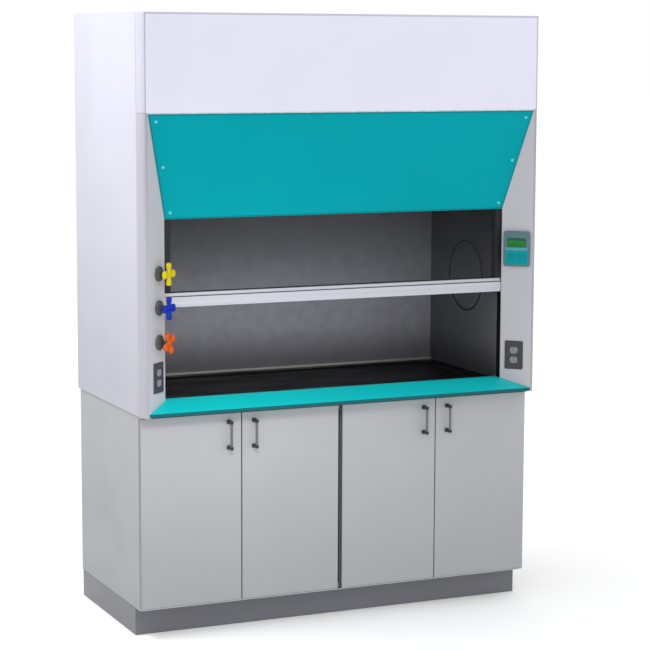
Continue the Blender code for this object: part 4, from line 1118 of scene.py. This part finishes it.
FLATTENED, REACH, GRIP_THICK = 0.58, 0.0435, 0.014
ARM = ((0.0115, 0.0), (0.0118, 0.36), (0.0140, 0.54), (0.0158, 0.72),
       (0.0150, 0.87), (0.0100, 0.97), (0.0015, 1.0))


def grip_form(low, high):
    """Four swelling arms round a hub, lying between two heights."""
    form = bmesh.new()
    lie = Matrix.Translation((0, 0, (low + high) / 2)) @ Matrix.Diagonal((1, 1, FLATTENED, 1))
    for quarter_turn in range(4):
        arm = turned([(radius, REACH * share) for radius, share in ARM], 24)
        merge(form, moved(arm, lie @ spun("Z", 90 * quarter_turn) @ spun("Y", 90)))
    hub = [(0.0095, low - 0.001), (0.0118, low + 0.002), (0.0118, high - 0.004), (0.0095, high - 0.0005),
           (0.003, high + GRIP_THICK * 0.1)]
    return merge(form, turned(hub, 32))


print("mouldings can be melted")

# %% The three valves
left_face = slanted(-1)
NUT_RADIUS, STEM_RADIUS, SOCKET_RADIUS = 0.0115, 0.0046, 0.0062
for word, color, turn in (("upper", "yellow", 0.0), ("middle", "blue", 0.0), ("lower", "orange", 28.0)):
    paint, handle, spindle = f"{color}_plastic", f"{word}_valve_handle", joints[f"{word}_valve_spindle"]
    place = Matrix.Translation(spindle["pos_m"]) @ left_face.to_4x4()
    face = left_face.transposed() @ Vector(spindle["pos_m"])
    body_low, body_high = flat_box(f"{word}_valve_body", left_face)
    radius, neck = (body_high.x - body_low.x) / 2, body_high.z - face.z
    grip_top = flat_box(handle, left_face)[1].z - face.z - 0.0035
    grip_foot = grip_top - GRIP_THICK
    flange = [(radius * 0.4, 0.0004), (radius - 0.001, 0.0004), (radius, 0.0014), (radius, 0.0055),
              (radius - 0.0012, 0.0080), (radius - 0.0045, 0.0096), (radius * 0.62, 0.0102),
              (radius * 0.58, 0.0120), (radius * 0.5, 0.0126)]
    stand_in(f"{word}_valve_body", f"{word}_valve_flange", moved(turned(flange, 64), place), "flange_plastic")
    nut = soften(turned([(NUT_RADIUS, 0.0122), (NUT_RADIUS, neck - 0.001)], 6), 0.0008)
    added(f"{word}_gland_nut", moved(nut, place), "gland_metal", smooth=30)
    stem = [(STEM_RADIUS, neck - 0.0012), (STEM_RADIUS, grip_foot - 0.006),
            (SOCKET_RADIUS, grip_foot - 0.005), (SOCKET_RADIUS, grip_foot - 0.0005)]
    added(f"{word}_valve_stem", moved(turned(stem, 32), place), "gland_metal", handle)
    form = moved(grip_form(grip_foot, grip_top), spun("Z", turn))
    grip = melted(f"{word}_valve_grip", moved(form, place), paint)
    settle(grip, handle, handle)
    cap = pillow(0.011, 0.011, 0.0054, grip_top + 0.0006, grip_top + 0.0022, 0.0008)
    added(f"{word}_valve_cap", moved(cap, place), paint, handle)
    print(word, "valve: flange", round(radius * 2000, 1), "mm, grip", len(grip.data.polygons), "faces")

# %% [markdown]
# ## Sockets
#
# Each post has a two-outlet socket plate. The plate is dark, the outlet faces are paler, and
# their slots are real holes, cut by a Boolean and then made plain.

# %% Plates, outlets and their slots
OUTLET_PITCH, HOLE_DEPTH = 0.039, 0.0035
OUTLET = ((0.031, 0.026, 0.0105, 0.0006), (0.0298, 0.0248, 0.010, 0.0001), (0.028, 0.023, 0.0092, 0.0))
HOLES = ((0.0028, 0.009, -0.0064, -0.003), (0.0028, 0.0075, 0.0064, -0.003), (0.0056, 0.0052, 0.0, 0.0078))
for word, side in SIDES:
    turn = slanted(side)
    low, high = flat_box(f"{word}_socket", turn)
    middle, size = span(low, high)
    plate_top = high.z - 0.0014
    plate = pillow(size.x, size.y, 0.005, low.z, plate_top, 0.0018, middle)
    stand_in(f"{word}_socket", f"{word}_socket_plate", moved(plate, turn.to_4x4()), "socket_plastic")
    faces, holes = bmesh.new(), bmesh.new()
    for row in (-0.5, 0.5):
        spot = Vector((middle.x, middle.y + row * OUTLET_PITCH))
        loops = [outline(*OUTLET[0][:3], plate_top - 0.001, spot)]
        loops += [outline(width, tall, radius, high.z - down, spot) for width, tall, radius, down in OUTLET]
        skin(loops, form=faces)
        for width, tall, x, y in HOLES:
            slab_form(holes, width, tall, high.z - HOLE_DEPTH, high.z + 0.001, spot + Vector((x, y)))
    settle(carved(f"{word}_socket_outlets", faces, "outlet_plastic", holes, turn.to_4x4()), "root")
    screw = (turn @ Vector((middle.x, middle.y, plate_top)), turn @ UP)
    screws(f"{word}_socket_screw", [screw], 0.003, 0.001, "gland_metal")
print("sockets", [round(v * 1000, 1) for v in size], "mm")

# %% [markdown]
# ## The control panel
#
# A moulded bezel frames a display over a keypad. The keypad is a printed film round three
# raised keys that travel a millimetre. The display shows a plain bar scale for the airflow, of
# bars cut from thin sheet, and no lettering.

# %% Bezel, films and keys
turn = slanted(1)
stand_up = turn.to_4x4()
low, high = flat_box("control_panel", turn)
middle, size = span(low, high)
screen_low, screen_high = flat_box("screen", turn)
screen_middle, screen_size = span(screen_low, screen_high)
KEYS = ("left", "middle", "right")
key_boxes = {word: flat_box(f"{word}_button", turn) for word in KEYS}
ABOVE, FILM_LIFT, FILM_TOP, FILM_EDGE = 0.002, 0.0001, 0.0006, 0.0003
KEY_ROOM, FILM_ROOM = 0.0008, 0.001


def pocket(form, box, gap, low):
    """Room in the panel for a solid, from a height up, with half a gap on each side of it."""
    middle, size = span(*box)
    slab_form(form, size.x + gap, size.y + gap, low, high.z + ABOVE, middle)


def plate(box, radius, edge):
    """A rounded plate as large as a solid."""
    middle, size = span(*box)
    return moved(pillow(size.x, size.y, radius, box[0].z, box[1].z, edge, middle), stand_up)


def film(width, tall, radius, base, edge, middle):
    """A thin sheet that lies on a face."""
    return pillow(width, tall, radius, base + FILM_LIFT, base + FILM_TOP, edge, middle)


pockets, holes = bmesh.new(), bmesh.new()
pocket(pockets, (screen_low, screen_high), KEY_ROOM, screen_low.z - 0.0003)
for box in key_boxes.values():
    pocket(pockets, box, KEY_ROOM, box[0].z - 0.0014)
    pocket(holes, box, FILM_ROOM, high.z - 0.002)
case = pillow(size.x, size.y, 0.009, low.z, high.z, 0.0035, middle)
settle(carved("control_bezel", case, "bezel_plastic", pockets, stand_up), "root", "control_panel")
film_width = size.x - 0.016
keypad_top, keypad_foot = screen_low.y - 0.016, low.y + 0.008
keypad_middle = (middle.x, (keypad_top + keypad_foot) / 2)
keypad = film(film_width, keypad_top - keypad_foot, 0.004, high.z, FILM_EDGE, keypad_middle)
settle(carved("keypad_film", keypad, "key_plastic", holes, stand_up), "root")
band = film(film_width, 0.011, 0.003, high.z, FILM_EDGE, (middle.x, keypad_top + 0.0075))
added("keypad_band", moved(band, stand_up), "pale_key_plastic")
for word, box in key_boxes.items():
    stand_in(f"{word}_button", f"{word}_key", plate(box, 0.003, 0.0008), "soft_key_plastic")
print("bezel", [round(v * 1000, 1) for v in size], "mm")

# %% The display and its bar scale
BARS, SCALE_WIDTH, BAR_WIDTH = 12, 0.050, 0.0028
stand_in("screen", "display_window", plate((screen_low, screen_high), 0.0015, 0.0004), "display_green")
# The mask's window sits low, so a wide band of dark mask along the display's top is painted shade from the
# bezel.
view = bmesh.new()
slab_form(view, screen_size.x - 0.008, screen_size.y - 0.014, screen_high.z - 0.001, screen_high.z + 0.003,
          screen_middle + Vector((0, -0.004, 0)))
mask = film(screen_size.x - 0.001, screen_size.y - 0.001, 0.0012, screen_high.z, 0.0002, screen_middle)
settle(carved("display_mask", mask, "mask_plastic", view, stand_up), "root")
bars = bmesh.new()
for i in range(BARS):
    share = i / (BARS - 1)
    tall = 0.003 + 0.010 * share
    spot = (screen_middle.x + SCALE_WIDTH * (share - 0.5), screen_low.y + 0.006 + tall / 2)
    slab_form(bars, BAR_WIDTH, tall, screen_high.z + FILM_LIFT, screen_high.z + 0.00035, spot)
added("display_bars", moved(bars, stand_up), "bar_ink")
print("display", round(screen_size.x * 1000), "by", round(screen_size.y * 1000), "mm,", BARS, "bars")

# %% [markdown]
# ## Door handles
#
# Each handle is a round satin bar between two dark moulded feet. A foot is broad where it meets
# the door and narrows to the bar.

# %% Bars and feet
FOOT_TALL, BAR_RADIUS, BAR_NECK = 0.013, 0.0050, 0.0046
for word in DOORS:
    low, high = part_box(f"{word}_handle")
    middle, size = span(low, high)
    stem = size.y - 0.006
    feet = bmesh.new()
    for level in (low.z + FOOT_TALL / 2, high.z - FOOT_TALL / 2):
        shape = [(0.0190, 0.0160, 0), (0.0190, 0.0160, 0.002), (0.0160, 0.0145, 0.006),
                 (0.0132, 0.0135, 0.012), (0.0124, 0.0130, stem - 0.004), (0.0128, 0.0134, stem),
                 (0.0128, 0.0134, size.y - 0.0022), (0.0112, 0.0118, size.y - 0.0006),
                 (0.0086, 0.0092, size.y)]
        loops = [outline(width, tall, tall * 0.3, depth, steps=5) for width, tall, depth in shape]
        merge(feet, moved(skin(loops), Matrix.Translation((middle.x, high.y, level)) @ spun("X", 90)))
    stand_in(f"{word}_handle", f"{word}_handle_feet", feet, "dark_plastic")
    bar_low, bar_high = low.z + FOOT_TALL, high.z - FOOT_TALL
    bar = turned([(BAR_NECK, bar_low - 0.001), (BAR_RADIUS, bar_low + 0.006), (BAR_RADIUS, bar_high - 0.006),
                  (BAR_NECK, bar_high + 0.001)], 40)
    bar = moved(bar, Matrix.Translation((middle.x, low.y + 0.006, 0)))
    added(f"{word}_handle_bar", bar, "handle_metal", f"{word}_door")
print("handles", [round(v * 1000, 1) for v in size], "mm")

# %% [markdown]
# ## Chamber fittings
#
# A round cover on each side liner gives a way to the services behind it. The exhaust collar is
# a rolled steel spigot with a hemmed rim and a pair of stiffening beads.

# %% Access covers
COVER_SCREWS, SCREW_RING = 6, 0.009
for word, side in SIDES:
    low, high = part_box(f"{word}_access_cover")
    middle, size = span(low, high)
    radius, thick = size.z / 2, size.x
    wall = high.x if side > 0 else low.x
    face = Matrix.Translation((wall, middle.y, middle.z)) @ spun("Y", -90 * side)
    profile = [(radius - 0.0005, 0.0), (radius, 0.0006), (radius - 0.0003, 0.0016), (radius - 0.002, thick),
               (radius - 0.016, thick), (radius - 0.018, thick - 0.0012), (radius - 0.022, thick - 0.0012),
               (radius - 0.024, thick), (radius * 0.5, thick)]
    stand_in(f"{word}_access_cover", f"{word}_service_cover", moved(turned(profile, 96), face), "liner_board")
    gasket = turned([(radius - 0.0245, thick - 0.0016), (radius - 0.0160, thick - 0.0016),
                     (radius - 0.0164, thick + 0.0006), (radius - 0.0241, thick + 0.0006)], 96, ring=True)
    added(f"{word}_cover_gasket", moved(gasket, face), "belt_rubber")
    ring = circle(radius - SCREW_RING, thick - 0.0003, 2 * COVER_SCREWS)[1::2]
    seeds = [(face @ Vector(spot), (-side, 0, 0)) for spot in ring]
    screws(f"{word}_cover_screws", seeds, 0.004, 0.0012, "dark_plastic")
print("access covers", round(radius * 2000), "mm across")

# %% Exhaust collar
SHEET, SWAGE = 0.0025, ((0, -0.006), (0.0015, -0.003), (0.002, 0), (0.0015, 0.003), (0, 0.006))
low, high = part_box("exhaust_collar")
middle, size = span(low, high)
radius = size.x / 2
profile = [(radius - SHEET, low.z), (radius, low.z)]
for share in (0.35, 0.7):
    profile += [(radius - inward, low.z + size.z * share + up) for inward, up in SWAGE]
profile += [(radius, high.z - 0.0012), (radius - 0.0006, high.z - 0.0003), (radius - SHEET / 2, high.z),
            (radius - SHEET + 0.0003, high.z - 0.0004), (radius - SHEET, high.z - 0.0014)]
form = moved(turned(profile, 96, ring=True), Matrix.Translation((middle.x, middle.y, 0)))
stand_in("exhaust_collar", "exhaust_spigot", form, "stainless")
print("collar", round(radius * 2000), "mm outside")

# %% [markdown]
# ## The counterbalance
#
# Toothed belts tie the sash to iron weights behind the posts. A belt's teeth repeat along a
# path, so a node tree makes them: it walks a closed curve at an even pitch and sets a small
# tooth at each step, turned to the path's own direction. The smooth back of the belt is a
# flat ring of the same outline, skinned outside them.

# %% The belt tree
def belt_tree():
    sizes = ("Pitch", "Tooth Length", "Tooth Depth", "Belt Width")
    board, given = tree_board("toothed_belt", "Teeth", "Path", sizes, "Rubber")
    path, pitch, length, depth, width, rubber = given
    curve = board.node("GeometryNodeMeshToCurve", {"Mesh": path})
    steps = board.node("GeometryNodeCurveToPoints", {"Curve": curve, "Length": pitch}, mode="LENGTH")
    along = Wire(board, steps.socket.node.outputs["Tangent"])
    level = board.node("FunctionNodeAlignRotationToVector",
                       {"Rotation": pointed(board, along), "Vector": (1, 0, 0)}, axis="X", pivot_axis="Z")
    tooth = board.node("GeometryNodeMeshCube", {"Size": board.vector(width, depth, length)})
    teeth = board.node("GeometryNodeInstanceOnPoints",
                       {"Points": steps, "Instance": tooth, "Rotation": level})
    return finished_tree(board, teeth, rubber)


toothed_belt = belt_tree()

# %% Shaft, pulleys and bearings
SHAFT_RADIUS, RUNNING_FIT, BEARING_RADIUS, BEARING_THICK = 0.006, 0.0002, 0.017, 0.006
BORE = SHAFT_RADIUS + RUNNING_FIT
BEARING = ((BORE, 0.0001), (BEARING_RADIUS - 0.0008, 0.0001), (BEARING_RADIUS, 0.0009),
           (BEARING_RADIUS, 0.0028), (BEARING_RADIUS - 0.0008, 0.0036), (BORE + 0.0045, 0.0040),
           (BORE + 0.0035, BEARING_THICK), (BORE, BEARING_THICK))
for node in ("cross_shaft", "left_idler", "right_idler"):
    refined(node, f"{node}_steel", "shaft_steel", 0.0006)
for word, side in SIDES:
    panel_low, panel_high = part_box(f"{word}_side_panel")
    inner_face = panel_low.x if side > 0 else panel_high.x
    for kind, node in (("shaft", "cross_shaft"), ("idler", f"{word}_idler")):
        middle = span(*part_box(node))[0]
        seat = Matrix.Translation((inner_face, middle.y, middle.z)) @ spun("Y", -90 * side)
        added(f"{word}_{kind}_bearing", moved(turned(BEARING, 40, ring=True), seat), "cast_iron")
    low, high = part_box(f"{word}_counterweight")
    middle, size = span(low, high)
    bolts = [((middle.x, low.y + 0.0004, low.z + share * size.z), (0, -1, 0)) for share in (0.08, 0.5, 0.92)]
    screws(f"{word}_weight_bolts", bolts, 0.008, 0.004, body=f"{word}_counterweight")
print("bearings", BEARING_RADIUS * 2000, "mm across")

# %% Belts
BACK, TOOTH, PITCH, BITE = 0.0008, 0.0009, 0.008, 0.00005
HALF_TURN = [math.pi * i / 20 for i in range(21)]


def belt_path(radius, y, low, high):
    """Points round two pulleys of a radius, from the foot of the front run."""
    over = [(y - radius * math.cos(t), high + radius * math.sin(t)) for t in HALF_TURN]
    under = [(y + radius * math.cos(t), low - radius * math.sin(t)) for t in HALF_TURN]
    return over + under


for word, side in SIDES:
    low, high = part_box(f"{word}_belt")
    middle, size = span(low, high)
    outer, half = size.y / 2, size.x / 2
    run = (middle.y, low.z + outer, high.z - outer)
    section = ((-half, outer), (half, outer), (half, outer - BACK), (-half, outer - BACK))
    loops = [[(middle.x + reach, y, z) for y, z in belt_path(depth, *run)] for reach, depth in section]
    stand_in(f"{word}_belt", f"{word}_belt_strap", ring_skin(loops), "belt_rubber")
    path = [(middle.x, y, z) for y, z in belt_path(outer - BACK - TOOTH / 2 + BITE, *run)]
    walk = bpy.data.meshes.new(f"{word}_walk")
    walk.from_pydata(path, [(i, (i + 1) % len(path)) for i in range(len(path))], [])
    rubber = paints["belt_rubber"]
    sizes = {"Pitch": PITCH, "Tooth Length": PITCH * 0.5, "Tooth Depth": TOOTH, "Belt Width": half * 1.92}
    teeth = grown(f"{word}_belt_teeth", walk, toothed_belt, {**sizes, "Rubber": rubber}, rubber)
    settle(teeth, "root")
print("belt teeth", len(teeth.data.polygons) // 6, "a side,", PITCH * 1000, "mm apart")

# %% [markdown]
# ## The service light
#
# A shallow enamelled tray above the ceiling holds the lamp, closed by a ribbed lens that
# spreads its light. The ribs are prisms that run from front to back, so the lens is one strip
# of zigzag drawn out along the hood.

# %% Tray and lens
refined("light_fixture", "light_tray", "white_enamel", 0.0015, slot="lamp_diffuser")
RIBS, RIB_DEPTH, RIM, LENS_GAP = 96, 0.0016, 0.012, 0.0004
low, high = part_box("light_fixture")
lens_top = low.z - LENS_GAP
profile = []
for i in range(RIBS + 1):
    x = low.x + RIM + (high.x - low.x - 2 * RIM) * i / RIBS
    profile.append((x, lens_top - (RIB_DEPTH if i % 2 else LENS_GAP)))
profile += [(high.x - RIM, lens_top), (low.x + RIM, lens_top)]
lens = skin([[(x, y, z) for x, z in profile] for y in (low.y + RIM, high.y - RIM)])
bmesh.ops.recalc_face_normals(lens, faces=lens.faces)
added("light_lens", lens, "lamp_diffuser", smooth=12)
print("lens with", RIBS // 2, "ribs")

# %% [markdown]
# ## Floor, light and camera
#
# The hood stands on a pale seamless floor under an even white sky. One large soft lamp high
# on its left brightens the side panel from the top down, and a small one in front lights the
# left of the sill. The camera stands front left, a little above the hood's middle.

# %% Floor
FLOOR_REACH, FLOOR_DROP = 60.0, 0.001
form = bmesh.new()
form.faces.new([form.verts.new((x * FLOOR_REACH, y * FLOOR_REACH, -FLOOR_DROP))
                for x, y in ((-1, -1), (1, -1), (1, 1), (-1, 1))])
pale = Finish("pale_floor")
pale.done(pale.shade((0.965, 0.965, 0.965), 0.004, 1.5), 0.8 + pale.noise(0.6) * 0.1,
          pale.relief(pale.noise(0.01), 0.00002), Emission_Color=(1.0, 1.0, 1.0), Emission_Strength=0.12)
new_piece("floor", form, "pale_floor")
print("floor", 2 * FLOOR_REACH, "m wide")

# %% Light
scene = bpy.context.scene
scene.view_settings.view_transform = "Standard"
world = bpy.data.worlds.new("white_room")
scene.world = world
world.use_nodes = True
sky = world.node_tree.nodes["Background"]
sky.inputs["Color"].default_value = (1.0, 1.0, 1.0, 1.0)
sky.inputs["Strength"].default_value = 1.0


def soft_lamp(name, place, target, width, power, spread=180):
    """A square lamp at a place, turned to a target."""
    data = bpy.data.lights.new(name, "AREA")
    data.shape = "RECTANGLE"
    data.size = data.size_y = width
    data.energy = power
    data.spread = math.radians(spread)
    lamp = placed(name, data)
    lamp.location = place
    lamp.rotation_euler = (Vector(target) - Vector(place)).to_track_quat("-Z", "Y").to_euler()
    lamp.visible_camera = False


soft_lamp("left_lamp", (-2.35, 0.0, 3.15), (-0.83, 0.0, 2.2), 1.0, 38)
soft_lamp("sill_lamp", (-1.1, -2.3, 2.3), (-0.42, -0.30, 0.88), 0.5, 1.6, 44)

# %% Camera
CAMERA_PLACE = Vector((-3.3349, -7.5928, 2.2223))
YAW, PITCH_DOWN, ROLL = 0.4230, 0.1322, 0.0037
LENS = 115.35
sideways = Vector((math.cos(YAW), -math.sin(YAW), 0))
level_ahead = Vector((math.sin(YAW), math.cos(YAW), 0))
ahead = level_ahead * math.cos(PITCH_DOWN) - UP * math.sin(PITCH_DOWN)
above = sideways.cross(ahead)
tilted_right = sideways * math.cos(ROLL) + above * math.sin(ROLL)
tilted_up = above * math.cos(ROLL) - sideways * math.sin(ROLL)
turn = Matrix((tilted_right, tilted_up, -ahead)).transposed()
camera = placed("camera", bpy.data.cameras.new("camera"))
camera.data.lens = LENS
camera.data.sensor_width = 36.0
camera.matrix_world = Matrix.Translation(CAMERA_PLACE) @ turn.to_4x4()
scene.camera = camera
print("camera", [round(v, 2) for v in CAMERA_PLACE], "lens", LENS, "mm")
